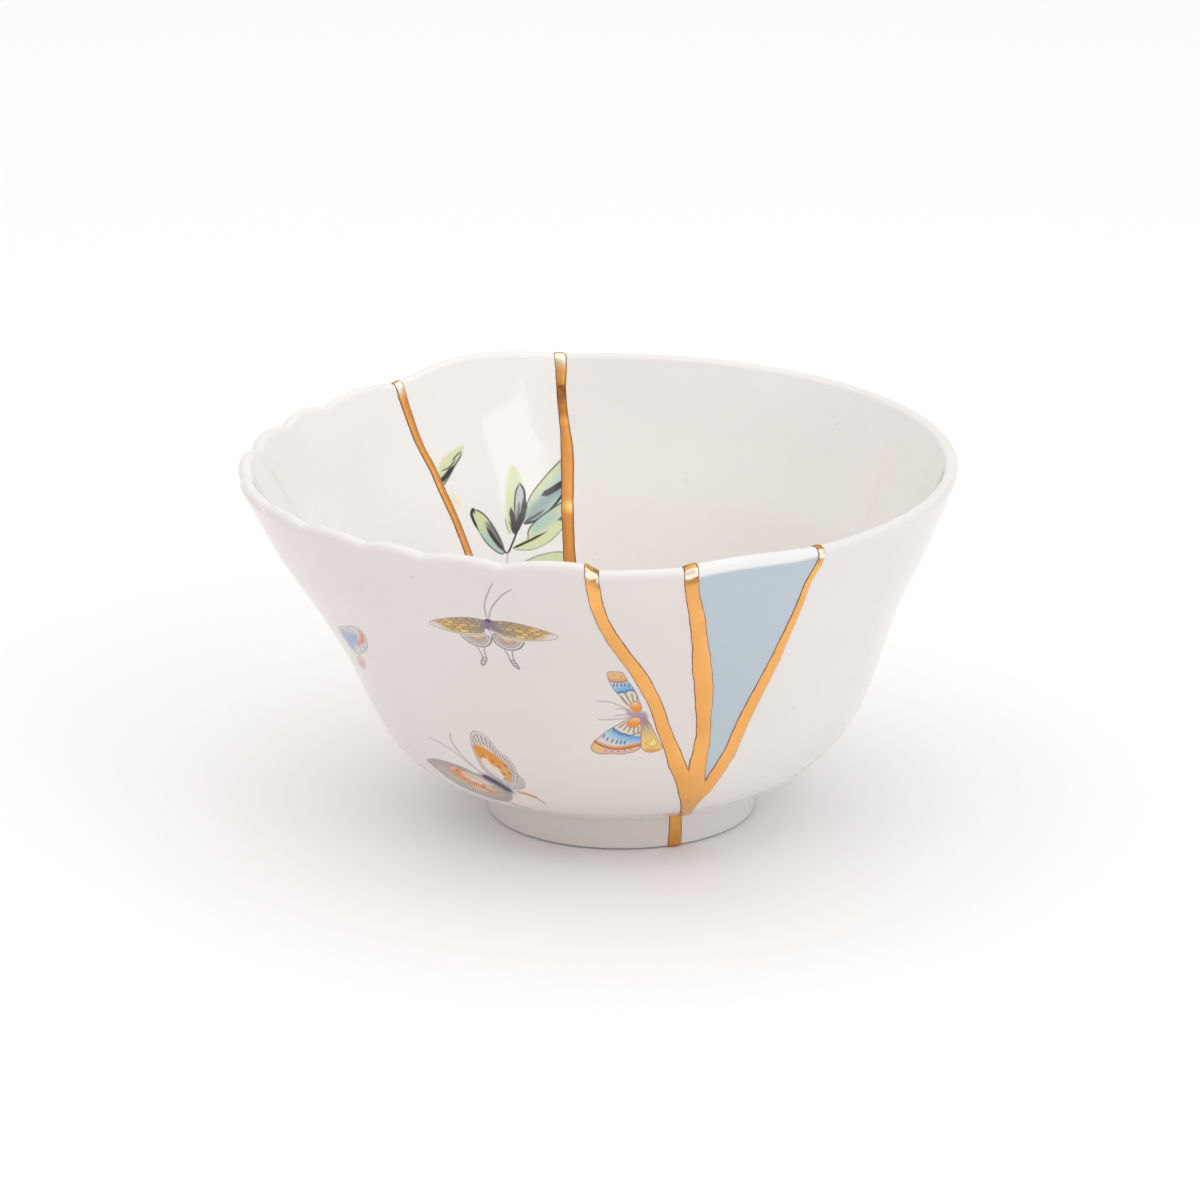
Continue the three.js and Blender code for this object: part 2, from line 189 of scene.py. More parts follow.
def rim(shard, bearing):
    """Crest height, and how far the lip swells."""
    round_top = scallop(shard, bearing)
    return smooth(RIM[shard], bearing) + SCALLOP_RISE * round_top, SCALLOP_SWELL * round_top


def section(height, crest, swell):
    """Radius, slope from the vertical, thickness and offset of the wall at a height."""
    radius = smooth(WALL, height) + swell * smoothstep(height, crest - SCALLOP_FADE, crest)
    slope = np.arctan(smooth(WALL, height + 0.5) - smooth(WALL, height - 0.5))
    return radius, slope, smooth(THICKNESS, height), smooth(WALL, height, 2)


def lip_start(crest, swell):
    """Height at which the wall turns into a half-round lip of its own thickness."""
    _, slope, thickness, _ = section(crest - 2, crest, swell)
    return crest - thickness / 2 * (1 + np.sin(slope))


def level(t, crest, swell):
    """Height on the wall that a section parameter stands for, with the foot's levels below."""
    top = lip_start(crest, swell)
    wall = lerp(WALL_FOOT, top, np.clip(np.where(t < 3.5, t - 2, 5 - t), 0.0, 1.0))
    return np.where(t < 2, WALL_FOOT * np.clip(t - 1, 0.0, 1.0), wall)


def place(bearing, radius, height, offset):
    """A point on a level circle about the bowl's axis, set off towards -X."""
    b = np.radians(bearing)
    return np.stack([radius * np.sin(b) - offset, -radius * np.cos(b), height + 0 * b], axis=-1)


def skin(t, bearing, crest, swell):
    """The bowl's surface: straight lines under the foot, the foot's section turned about the
    axis, the outer wall, a half circle over the lip, the wall again at its full thickness
    inwards, and a floor that rises with the cube of the distance from the middle."""
    t, bearing, crest, swell = np.broadcast_arrays(t, bearing, crest, swell)
    height = level(t, crest, swell)
    radius, slope, thickness, offset = section(np.maximum(height, WALL_FOOT), crest, swell)
    half = thickness / 2
    turn = np.clip(t - 3, 0.0, 1.0) * np.pi - slope
    across = radius - half * np.cos(slope) + half * np.cos(turn)
    up = height + half * np.sin(slope) + half * np.sin(turn)
    wall = place(bearing, across, up, offset)

    s = np.clip(t - 1, 0.0, 1.0)
    foot = place(bearing, np.interp(s, FOOT_T, FOOT_LINE[:, 0]), np.interp(s, FOOT_T, FOOT_LINE[:, 1]),
                 np.interp(s, FOOT_T, FOOT_LINE[:, 2]))

    hub = np.array([*HUB, 0.0])
    reach = np.where(t < 3, t, 6 - t)[..., None]
    flat = hub + (np.where(t[..., None] < 3, foot, wall) - hub) * np.clip(reach, 0.0, 1.0)
    edge = np.linalg.norm(wall[..., :2], axis=-1)
    bulge = (np.linalg.norm(flat[..., :2], axis=-1) / edge) ** 3
    flat[..., 2] = np.where(t < 3, RECESS_HEIGHT, FLOOR_HEIGHT + (wall[..., 2] - FLOOR_HEIGHT) * bulge)

    zone = np.select([t <= 1, t < 2, t < 5], [0, 1, 2], 0)[..., None]
    return np.select([zone == 0, zone == 1], [flat, foot], wall)


def skin_normal(t, bearing, crest, swell, shard=None):
    """Outward normal, from the surface's slopes in both parameters."""
    def at(dt, db):
        if shard is None:
            return skin(t + dt, bearing + db, crest, swell)
        return skin(t + dt, bearing + db, *rim(shard, bearing + db))
    dt, db = 0.002, 0.05
    return unit(np.cross(at(0, db) - at(0, -db), at(dt, 0) - at(-dt, 0)))


def mm_per_degree(t, bearing, crest, swell):
    """Length on the surface of one degree of bearing."""
    step = skin(t, bearing + 0.5, crest, swell) - skin(t, bearing - 0.5, crest, swell)
    return np.linalg.norm(step, axis=-1)


def wobble(lev, seed, side):
    """Slight unevenness of a brushed edge, as a share of its half width: a sum of waves along
    the seam, shifted for each edge."""
    phase = seed * 1.7 + side
    return sum(size * np.sin(rate * lev + shift * phase) for size, rate, shift in WOBBLE)


def half_angle(width, scale):
    """Half the angle, seen from the middle, of a strip that keeps its width up to there."""
    return np.degrees(np.arcsin(np.clip(width / 2 / np.degrees(scale), 0.0, 1.0)))


def course(seam, t, shard, side):
    """Bearing of a seam's middle and its half width in degrees, on one shard's side of it."""
    bearing = np.full_like(t, SEAMS[seam][-1][1])
    for _ in range(3):
        crest, swell = rim(shard, unwrap(bearing, shard))
        lev = level(t, crest, swell)
        bearing = smooth(SEAMS[seam], lev)
    scale = mm_per_degree(t, bearing, crest, swell)
    drift = (smooth(SEAMS[seam], lev + 0.5) - smooth(SEAMS[seam], lev - 0.5)) * scale
    slope = section(np.maximum(lev, WALL_FOOT), crest, swell)[1]
    slant = np.where((t > 2) & (t < 5), np.arctan(drift * np.cos(slope)), 0.0)
    width = smooth(SEAMS[seam], lev, 2) * (1 + wobble(lev, ord(seam), side)) / np.cos(slant)
    half = half_angle(width, scale)
    if seam in "CDE":
        own = smoothstep(lev, *FRONT_JOIN)
        band = 2 * half_angle(smooth(FRONT, lev, 2), scale)
        third = "CDE".index(seam) - 1
        bearing = lerp(smooth(FRONT, lev) + third * band / 3, bearing, own)
        half = lerp(band / 6 * JOIN_OVERLAP, half, own)
    return bearing, half


def unwrap(bearing, shard):
    """The same bearing in the turn in which a shard's rim is written."""
    middle = (RIM[shard][0][0] + RIM[shard][-1][0]) / 2
    return bearing + 360 * np.round((middle - bearing) / 360)


def gap(shard, t):
    """Bearings of the gold's edges that bound a shard. Where its two seams have run into
    each other, both are the line that parts them."""
    left, right = SHARDS[shard]
    a, a_half = course(left, t, shard, 1)
    b, b_half = course(right, t, shard, -1)
    a, b = unwrap(a, shard), unwrap(b, shard)
    parting = (a * b_half + b * a_half) / (a_half + b_half)
    return np.minimum(a + a_half, parting), np.maximum(b - b_half, parting)


def tips(shard):
    """Section parameters of a shard's two ends, on its outer and its inner face, where the
    room between its seams runs out."""
    found = []
    for t in (np.linspace(3, 0.01, 1500), np.linspace(4, 5.99, 1500)):
        left, right = gap(shard, t)
        middle = (left + right) / 2
        room = (right - left) * mm_per_degree(t, middle, *rim(shard, middle))
        found.append(t[np.argmax(room < TIP_WIDTH)])
    return found


# Rows of the mesh from the middle of the bottom out to the lip, as section parameters on
# the outer face and on the inner face. Row k of one faces row k of the other.
CELL = 1.9                   # usual size of a mesh cell
FINE = 12                    # a painted cell is split this many times each way
LIP_STEPS = 12               # rows over the half-round lip
UNDER_STEPS = 8              # rows from the hub to the foot ring's recess
LIP_RADIUS = THICKNESS[-1][1] / 2


def wall_rows():
    """Parameters from 2 to 3 at which the outer wall is cut into equal lengths."""
    t = np.linspace(2, 3, 400)
    points = skin(t, 0.0, 74.0, 0.0)
    along = np.insert(np.cumsum(np.linalg.norm(np.diff(points, axis=0), axis=1)), 0, 0.0)
    return np.interp(np.linspace(0, along[-1], round(along[-1] / CELL) + 1), along, t)


WALL_ROWS = wall_rows()
FOOT_EXTRA = [s for s in np.arange(0.05, 1, 0.05) if np.abs(FOOT_T - s).min() > 0.015]
FOOT_ROWS = np.sort(np.concatenate([FOOT_T, FOOT_EXTRA]))
OUTER_ROWS = np.concatenate([np.linspace(0, 1, UNDER_STEPS + 1)[:-1], 1 + FOOT_ROWS[:-1], WALL_ROWS])
FLOOR_STEPS = len(OUTER_ROWS) - len(WALL_ROWS)
INNER_ROWS = np.concatenate([np.linspace(6, 5, FLOOR_STEPS + 1)[:-1], 7 - WALL_ROWS])


def rows(outer_tip, inner_tip, split=1):
    """Rows of a piece from its tip on the outer face over the lip to its tip on the inner
    face, each step split further. The k-th from either end face each other through the wall."""
    free = np.argmax((OUTER_ROWS > outer_tip + 0.01) & (INNER_ROWS < inner_tip - 0.01))
    first = min(np.argmax(OUTER_ROWS > outer_tip), np.argmax(INNER_ROWS < inner_tip))
    lead = np.linspace(0, 1, free - first + 1, endpoint=False)
    outer = np.concatenate([lerp(outer_tip, OUTER_ROWS[free], lead), OUTER_ROWS[free:]])
    inner = np.concatenate([lerp(inner_tip, INNER_ROWS[free], lead), INNER_ROWS[free:]])
    lip = 3 + np.arange(1, LIP_STEPS) / LIP_STEPS
    all_rows = np.concatenate([outer, lip, inner[::-1]])
    places = np.arange((len(all_rows) - 1) * split + 1) / split
    return np.interp(places, np.arange(len(all_rows)), all_rows)


def cells(painted):
    """Faces of a grid of cells, as places on a lattice FINE times as close. A painted cell is
    split into quads one lattice step wide, a cell beside one is a fan of triangles about its
    middle that takes in the points on their common side, and any other cell is one quad."""
    count, across = painted.shape
    node = np.arange((count * FINE + 1) * (across * FINE + 1)).reshape(count * FINE + 1, -1)
    corner, middle = node[::FINE, ::FINE], node[FINE // 2::FINE, FINE // 2::FINE]
    room = np.pad(painted, 1)
    beside = [room[:-2, 1:-1], room[1:-1, 2:], room[2:, 1:-1], room[1:-1, :-2]]
    fan = ~painted & np.any(beside, axis=0)
    faces = [quads(node, np.repeat(np.repeat(painted, FINE, 0), FINE, 1)), quads(corner, ~painted & ~fan)]
    starts, ways = [(0, 0), (0, 1), (1, 1), (1, 0)], [(0, 1), (1, 0), (0, -1), (-1, 0)]
    all_points, ends = np.arange(FINE + 1), np.array([0, FINE])
    for neighbour, start, way in zip(beside, starts, ways):
        for mask, steps in ((fan & neighbour, all_points), (fan & ~neighbour, ends)):
            i, j = np.nonzero(mask)
            side = node[(i[:, None] + start[0]) * FINE + way[0] * steps,
                        (j[:, None] + start[1]) * FINE + way[1] * steps]
            hub = np.broadcast_to(middle[i, j][:, None], side[:, 1:].shape)
            faces.append(np.stack([side[:, :-1], side[:, 1:], hub], axis=-1).reshape(-1, 3))
    return faces, corner


def quads(node, mask):
    """One face for each marked cell of a grid of points."""
    i, j = np.nonzero(mask)
    return np.stack([node[i, j], node[i, j + 1], node[i + 1, j + 1], node[i + 1, j]], axis=-1)


def closing(corner):
    """Faces that close a piece: one down each broken side, from the outer face through the
    wall to the inner one, and one at its tips."""
    last = len(corner) - 1
    k = np.arange(last // 2)
    faces = []
    for side, turn in ((corner[:, 0], 1), (corner[:, -1], -1)):
        faces.append(np.stack([side[k[:-1]], side[k[:-1] + 1], side[last - k[:-1] - 1],
                               side[last - k[:-1]]], axis=-1)[:, ::turn])
        top = last // 2
        faces.append(np.array([[side[top - 1], side[top], side[top + 1]]])[:, ::turn])
    tip = np.stack([corner[0, 1:], corner[0, :-1], corner[-1, :-1], corner[-1, 1:]], axis=-1)
    return faces + [tip]


def build(name, points, faces, normals=None, colours=None, **numbers):
    """Mesh object from points in millimetres about the foot, with attributes on its points."""
    used, places = np.unique(np.concatenate([f.ravel() for f in faces]), return_inverse=True)
    mesh = bpy.data.meshes.new(name)
    mesh.vertices.add(len(used))
    placed = (points[used] + np.array([*FOOT_CENTRE, 0.0])) * MM
    mesh.vertices.foreach_set("co", placed.astype(np.float32).ravel())
    mesh.loops.add(len(places))
    mesh.loops.foreach_set("vertex_index", places.astype(np.int32).ravel())
    sizes = np.concatenate([np.full(len(f), f.shape[1]) for f in faces])
    mesh.polygons.add(len(sizes))
    mesh.polygons.foreach_set("loop_start", np.insert(np.cumsum(sizes), 0, 0)[:-1].astype(np.int32))
    mesh.polygons.foreach_set("use_smooth", np.ones(len(sizes), bool))
    mesh.update(calc_edges=True)
    for key, values in numbers.items():
        layer = mesh.attributes.new(key, "FLOAT", "POINT")
        layer.data.foreach_set("value", values[used].astype(np.float32))
    if colours is not None:
        layer = mesh.attributes.new("paint", "FLOAT_COLOR", "POINT")
        layer.data.foreach_set("color", colours[used].astype(np.float32).ravel())
    if normals is not None:
        mesh.normals_split_custom_set_from_vertices(normals[used].astype(np.float32))
    piece = bpy.data.objects.new(name, mesh)
    bpy.context.scene.collection.objects.link(piece)
    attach(piece, "root")
    return piece


TIPS = {shard: tips(shard) for shard in SHARDS}
NOTCH_EASE = 0.35            # mesh lines this far either side of a notch keep it crisp
BLUE_CLIMB = 1.1             # the pale blue reaches this much higher at its right end
EDGE_CELL = 0.3              # width of the cells along a broken side, which are never split
LEAST_COVER = 0.03           # a cell is painted where a motif covers some of it by this share


def shard_edges(shard, t):
    """Bearings between which a shard's mesh runs: its gold's edges and a little under them."""
    left, right = gap(shard, t)
    middle = (left + right) / 2
    under = OVERLAP / mm_per_degree(t, middle, *rim(shard, middle))
    return left - under, right + under


def shard_columns(shard):
    """Places of a shard's mesh lines, from 0 at its left edge to 1 at its right."""
    crest = np.array([3.5])
    left, right = (float(edge[0]) for edge in shard_edges(shard, crest))
    scale = float(mm_per_degree(crest, np.array([left]), *rim(shard, np.array([left])))[0])
    stops = [left + EDGE_CELL / scale, right - EDGE_CELL / scale]
    if shard == "scalloped":
        for notch, _ in RIM[shard][1:-1]:
            stops += [notch - NOTCH_EASE / scale, notch, notch + NOTCH_EASE / scale]
    stops = np.sort(stops)
    found = [np.array([left])]
    for a, b in zip(stops, stops[1:]):
        found.append(np.linspace(a, b, max(1, round((b - a) * scale / CELL)), endpoint=False))
    found.append(np.array([stops[-1], right]))
    return (np.concatenate(found) - left) / (right - left)


def fine(values):
    """Values at FINE steps between each two."""
    places = np.arange((len(values) - 1) * FINE + 1) / FINE
    return np.interp(places, np.arange(len(values)), values)


def lip_distance(t, crest, swell):
    """Millimetres along the outer face from the end of the half-round lip, down the wall."""
    top = lip_start(crest, swell)
    slope = section(crest - 2, crest, swell)[1]
    return np.where(t < 3.0, (top - level(t, crest, swell)) / np.cos(slope), LIP_RADIUS * np.pi * (3 - t))


# Painting. A motif is drawn in millimetres to the right of and up the wall from its own
# origin, a bearing and a level, with X turned round on the inner face so that it reads
# from inside. Colours are laid one over another on the points of the mesh.
LEVELS = np.linspace(6, 80, 600)
CLIMB = np.hypot(np.diff(LEVELS), np.diff(smooth(WALL, LEVELS)))
CLIMB = np.insert(np.cumsum(CLIMB), 0, 0.0)
INNER_SHIFT = 3.2            # the inner face lies about this far inside the outer one
SOFT = 0.09                  # softness of a painted edge


def on_wall(bearing, lev, origin, inner):
    """Places on the wall as millimetres right of and up from an origin."""
    radius = smooth(WALL, lev) - (INNER_SHIFT if inner else 0.0)
    x = np.radians(bearing - origin[0]) * radius * (-1 if inner else 1)
    y = np.interp(lev, LEVELS, CLIMB) - np.interp(origin[1], LEVELS, CLIMB)
    return np.stack([x, y], axis=-1)


def srgb(red, green, blue):
    """Linear colour from a screen colour of 0-255."""
    c = np.array([red, green, blue]) / 255
    return np.where(c <= 0.04045, c / 12.92, ((c + 0.055) / 1.055) ** 2.4)


def curve(points, closed=False, steps=8):
    """Line through points, each stretch a cubic whose slopes join the neighbours."""
    p = np.asarray(points, float)
    if closed:
        p = np.concatenate([p[-1:], p, p[:2]])
    else:
        p = np.concatenate([2 * p[:1] - p[1:2], p, 2 * p[-1:] - p[-2:-1]])
    s = np.linspace(0, 1, steps, endpoint=False)[:, None, None]
    a, b, c, d = p[:-3], p[1:-2], p[2:-1], p[3:]
    line = 0.5 * (2 * b + (c - a) * s + (2 * a - 5 * b + 4 * c - d) * s**2 + (3 * b - a - 3 * c + d) * s**3)
    line = line.transpose(1, 0, 2).reshape(-1, 2)
    return np.concatenate([line, line[:1] if closed else p[-2:-1]])


def nearest(at, line):
    """Distance from each place to a line, and how far along the line its nearest point is."""
    a, along = line[:-1], np.diff(line, axis=0)
    s = np.clip(((at[:, None] - a) * along).sum(-1) / np.maximum((along**2).sum(-1), 1e-9), 0.0, 1.0)
    away = np.linalg.norm(at[:, None] - a - s[..., None] * along, axis=-1)
    k, each = away.argmin(1), np.arange(len(at))
    return away[each, k], (k + s[each, k]) / len(along)


def inside(at, line):
    """Whether each place is inside a closed line: a ray to the right crosses it an odd
    number of times."""
    a, b, y = line[:-1], line[1:], at[:, 1:]
    crosses = (a[:, 1] > y) != (b[:, 1] > y)
    rise = np.where(b[:, 1] == a[:, 1], 1e-9, b[:, 1] - a[:, 1])
    return (crosses & (at[:, :1] < a[:, 0] + (y - a[:, 1]) * (b[:, 0] - a[:, 0]) / rise)).sum(1) % 2 == 1


def about(at, centre, outline):
    """Place in a lobe: distance from its centre as a share of the way to its outline, and angle."""
    ray, edge = at - centre, outline[:-1] - centre
    angle, edge_angle = (np.arctan2(v[:, 1], v[:, 0]) for v in (ray, edge))
    order = np.argsort(edge_angle)
    reach = np.interp(angle, edge_angle[order], np.linalg.norm(edge, axis=1)[order], period=2 * np.pi)
    return np.linalg.norm(ray, axis=1) / reach, angle


def speckle(*numbers):
    """A fixed uneven value from 0 to 1 for each combination of whole numbers."""
    mixed = sum(np.sin(n * (12.9898 + 65.33 * k) + 4.1 * k) for k, n in enumerate(numbers))
    return np.mod(mixed * 4375.85, 1.0)


class Painting:
    """Colours on places of the wall, each kept times how far it covers, with the cover."""

    def __init__(self, at):
        self.at = at
        self.paint = np.zeros((len(at), 4))

    def box(self, line, margin):
        """Which places lie in a line's box or in a margin round it."""
        low, high = line.min(0) - margin, line.max(0) + margin
        return np.nonzero(((self.at > low) & (self.at < high)).all(1))[0]

    def lay(self, where, colour, cover):
        """Lays a colour over what is there, which shows through by what the cover leaves."""
        at = self.at[where]
        colour = colour(at) if callable(colour) else np.asarray(colour)
        cover = np.clip(cover, 0.0, 1.0)[:, None]
        layer = np.concatenate([np.broadcast_to(colour, (len(at), 3)), np.ones((len(at), 1))], axis=1)
        self.paint[where] = self.paint[where] * (1 - cover) + layer * cover

    def stroke(self, points, width, colour, strength=1.0, thin=(0.5, 0.5), closed=False, soft=SOFT):
        """A brush line through points, thinner at its two ends."""
        line = curve(points, closed)
        where = self.box(line, width + soft)
        if len(where):
            away, s = nearest(self.at[where], line)
            if not closed:
                width = width * np.minimum(1, thin[0] + 4 * s) * np.minimum(1, thin[1] + 4 * (1 - s))
            self.lay(where, colour, strength * (1 - smoothstep(away, width / 2 - soft, width / 2 + soft)))

    def wash(self, points, colour, strength=1.0, soft=SOFT, pattern=None):
        """A filled shape with a smooth outline. A pattern scales its cover from place to place."""
        line = curve(points, True)
        where = self.box(line, soft)
        if len(where):
            at = self.at[where]
            away, _ = nearest(at, line)
            cover = smoothstep(np.where(inside(at, line), away, -away), -soft, soft)
            self.lay(where, colour, strength * cover * (1.0 if pattern is None else pattern(at)))

    def oval(self, centre, size, turn, colour, strength=1.0, soft=SOFT):
        """An ellipse of half sizes, turned by an angle in degrees."""
        a, t = np.linspace(0, 2 * np.pi, 12, endpoint=False), np.radians(turn)
        x, y = size[0] * np.cos(a), size[1] * np.sin(a)
        ring = [centre[0] + x * np.cos(t) - y * np.sin(t), centre[1] + x * np.sin(t) + y * np.cos(t)]
        self.wash(np.stack(ring, axis=-1), colour, strength, soft)


PLUM = srgb(112, 92, 112)
SLATE = srgb(120, 108, 112)
NAVY = srgb(58, 72, 112)
AMBER = srgb(224, 146, 58)
RUST = srgb(168, 84, 44)
BUFF = srgb(226, 186, 124)
SHELL = srgb(218, 180, 162)
STRAW = srgb(226, 202, 110)
PEARL = srgb(232, 224, 220)
UMBER = srgb(128, 96, 88)


def mixed(a, b, share):
    """A blend of two colours that varies with the place."""
    return lambda at: lerp(a, b, share(at)[:, None])


def rising(low, high, across=0.0, up=1.0):
    """A share that grows from 0 to 1 as across * X + up * Y goes from low to high."""
    return lambda at: smoothstep(across * at[:, 0] + up * at[:, 1], low, high)


def patch(centre, size, power=2):
    """A share that is 1 at a centre and falls off with that power of the distance."""
    return lambda at: np.exp(-((at - centre) / size) ** power @ np.ones(2))


def mirrored(points, side):
    """The same points for side 1, and turned over to the left for side -1."""
    return [(side * x, y) for x, y in points]


def moved(points, across, up=0.0):
    """The same points moved to the right and up."""
    return [(x + across, y + up) for x, y in points]


def ticks(p, places, half, width, colour, strength):
    """Short strokes, each half a tick either side of its place."""
    for x, y in places:
        start, end = (x - half[0], y - half[1]), (x + half[0], y + half[1])
        p.stroke([start, end], width, colour, strength, thin=(1, 1))


def olive_butterfly(p):
    """Wings spread level, the fore wings of small staggered scales, round hind wings with
    fringes and banded tails, seen from above."""
    front_edge = [(0.0, -0.6), (2.0, -0.1), (4.5, -0.1), (7.3, -0.6), (10.1, -1.5), (12.2, -2.3),
                  (13.3, -3.1)]
    back_edge = [(13.0, -3.7), (11.8, -4.2), (9.0, -4.7), (6.2, -4.9), (4.0, -4.6), (2.0, -4.3),
                 (0.4, -2.9)]
    upper, lower = np.array(front_edge), np.array(back_edge[::-1] + front_edge[-1:])
    left_hind = [(-0.4, -3.6), (-0.6, -5.6), (-1.6, -7.2), (-3.4, -8.0), (-5.2, -7.4), (-6.4, -6.2),
                 (-6.7, -4.9), (-3.4, -3.6)]
    right_hind = [(0.1, -4.0), (0.0, -6.0), (1.0, -7.4), (2.6, -8.0), (4.4, -7.5), (5.6, -6.3),
                  (5.9, -5.0), (3.0, -3.6)]
    hinds = {-1: left_hind, 1: right_hind}
    tails = {-1: [(-3.5, -7.9), (-3.5, -9.6), (-3.5, -11.1), (-4.1, -12.5), (-4.8, -14.0)],
             1: [(2.3, -7.9), (2.3, -9.6), (2.3, -11.1), (2.6, -12.5), (3.0, -13.8)]}
    widths = (0.85, 0.42, 0.42, 0.52, 0.05)      # half widths of a tail, from its root
    scale_rows = 5.6

    def ground(at):
        """Cover of the dark ground, which ends short of the wing's pale tip."""
        x = side * at[:, 0]
        depth = np.clip((np.interp(x, upper[:, 0], upper[:, 1]) - at[:, 1]) / 4.0, 0, 1)
        return 1 - smoothstep(x + 3.6 * depth, 11.2, 13.2)

    def scales(at):
        """Cover of yellow: rows of small round scales, each row half a scale on."""
        x = side * at[:, 0]
        top, bottom = np.interp(x, upper[:, 0], upper[:, 1]), np.interp(x, lower[:, 0], lower[:, 1])
        row = (top - at[:, 1]) / np.maximum(top - bottom, 0.3) * scale_rows
        along = x / np.interp(x, [0, 3.5, 6, 12], [0.9, 1.0, 1.35, 1.5]) + 0.5 * np.floor(row)
        lens = 1 - np.abs(2 * np.mod(along, 1) - 1) ** 2.0 - np.abs(2 * np.mod(row, 1) - 1) ** 2.0
        lit = smoothstep(lens, -0.2, 0.5) * (0.3 + 0.7 * speckle(np.floor(along), np.floor(row)))
        return lit * smoothstep(x, 0.4, 2.2) * (1 - smoothstep(x + 0.55 * row, 12.0, 13.4))

    for side in (-1, 1):
        # A tail, with bands across its end.
        tail, hind = tails[side], hinds[side]
        p.wash(moved(tail, -0.45) + moved(tail, 0.45)[::-1], PEARL, 0.5)
        for edge in (-1, 1):
            p.stroke([(x + edge * w, y) for (x, y), w in zip(tail, widths)], 0.26, SLATE, 0.85)
        for k in (2.0, 2.5, 3.0, 3.5):
            x, y = (float(np.interp(k, range(5), column)) for column in zip(*tail))
            p.stroke([(x - 0.45, y + 0.08), (x + 0.45, y - 0.08)], 0.36, SLATE, 0.9)

        # A round hind wing, tawny in the middle.
        middle, ring = (np.mean(hind, 0)[0], -4.6), curve(hind, True)

        def fringe(at):
            """Cover of the dark stripes that point to the middle of the wing."""
            u, angle = about(at, middle, ring)
            stripes = 0.25 + 0.75 * smoothstep(np.sin(26 * angle), -0.4, 0.4)
            return smoothstep(u, 0.24, 0.36) * (1 - smoothstep(u, 0.66, 0.72)) * stripes

        p.wash(hind, srgb(216, 206, 200), 0.85)
        p.wash(hind, srgb(116, 98, 98), 0.9, pattern=fringe)
        p.wash(hind, srgb(196, 160, 96), 0.55,
               pattern=lambda at: 1 - smoothstep(about(at, middle, ring)[0], 0.4, 0.6))
        p.stroke(hind, 0.36, SLATE, 0.9, closed=True)
        p.stroke([lerp(np.array(middle), np.array(q), 0.79) for q in hind], 0.26, SLATE, 0.85,
                 closed=True)

        # A fore wing, its back edge pale.
        wing = mirrored(front_edge + back_edge, side)
        p.wash(wing, srgb(232, 222, 208), 0.9)
        p.wash(wing, mixed(srgb(118, 102, 106), srgb(128, 96, 88), rising(2, 7, side, 0)), 0.95,
               pattern=ground)
        p.wash(wing, mixed(srgb(190, 178, 116), srgb(234, 196, 104), rising(2, 6, side, 0)),
               0.95, pattern=scales)
        p.stroke(mirrored(back_edge[1:], side), 0.7, srgb(236, 224, 206), 0.8, soft=0.2)
        p.stroke(wing, 0.2, SLATE, 0.8, closed=True)
        tip_line = [(10.6, -2.2), (12.1, -2.8), (12.6, -3.3), (11.0, -4.0), (8.6, -4.4)]
        p.stroke(mirrored(tip_line, side), 0.16, SLATE, 0.5)

    # Body, head and feelers.
    p.wash([(-2.0, -0.6), (0, -0.3), (2.0, -0.6), (2.2, -2.0), (0.9, -3.0), (-1.0, -2.9), (-2.0, -2.0)],
           srgb(134, 112, 136), 0.6, soft=0.7)
    p.oval((-0.7, -3.6), (0.5, 1.1), 25, srgb(228, 214, 232), 0.95)
    p.stroke([(-0.3, -2.6), (-0.3, -3.9), (0.1, -5.2)], 0.16, PLUM, 0.6)
    p.oval((0.0, -0.25), (0.66, 0.52), 0, srgb(84, 62, 88))
    p.stroke([(-0.15, 0.2), (-0.1, 2.2), (0.3, 4.5), (1.5, 7.2), (3.1, 10.1)], 0.26, SLATE, 0.75)
    p.stroke([(0.25, 0.2), (1.0, 2.4), (2.5, 4.8), (4.5, 7.1), (6.7, 8.8)], 0.26, SLATE, 0.75)


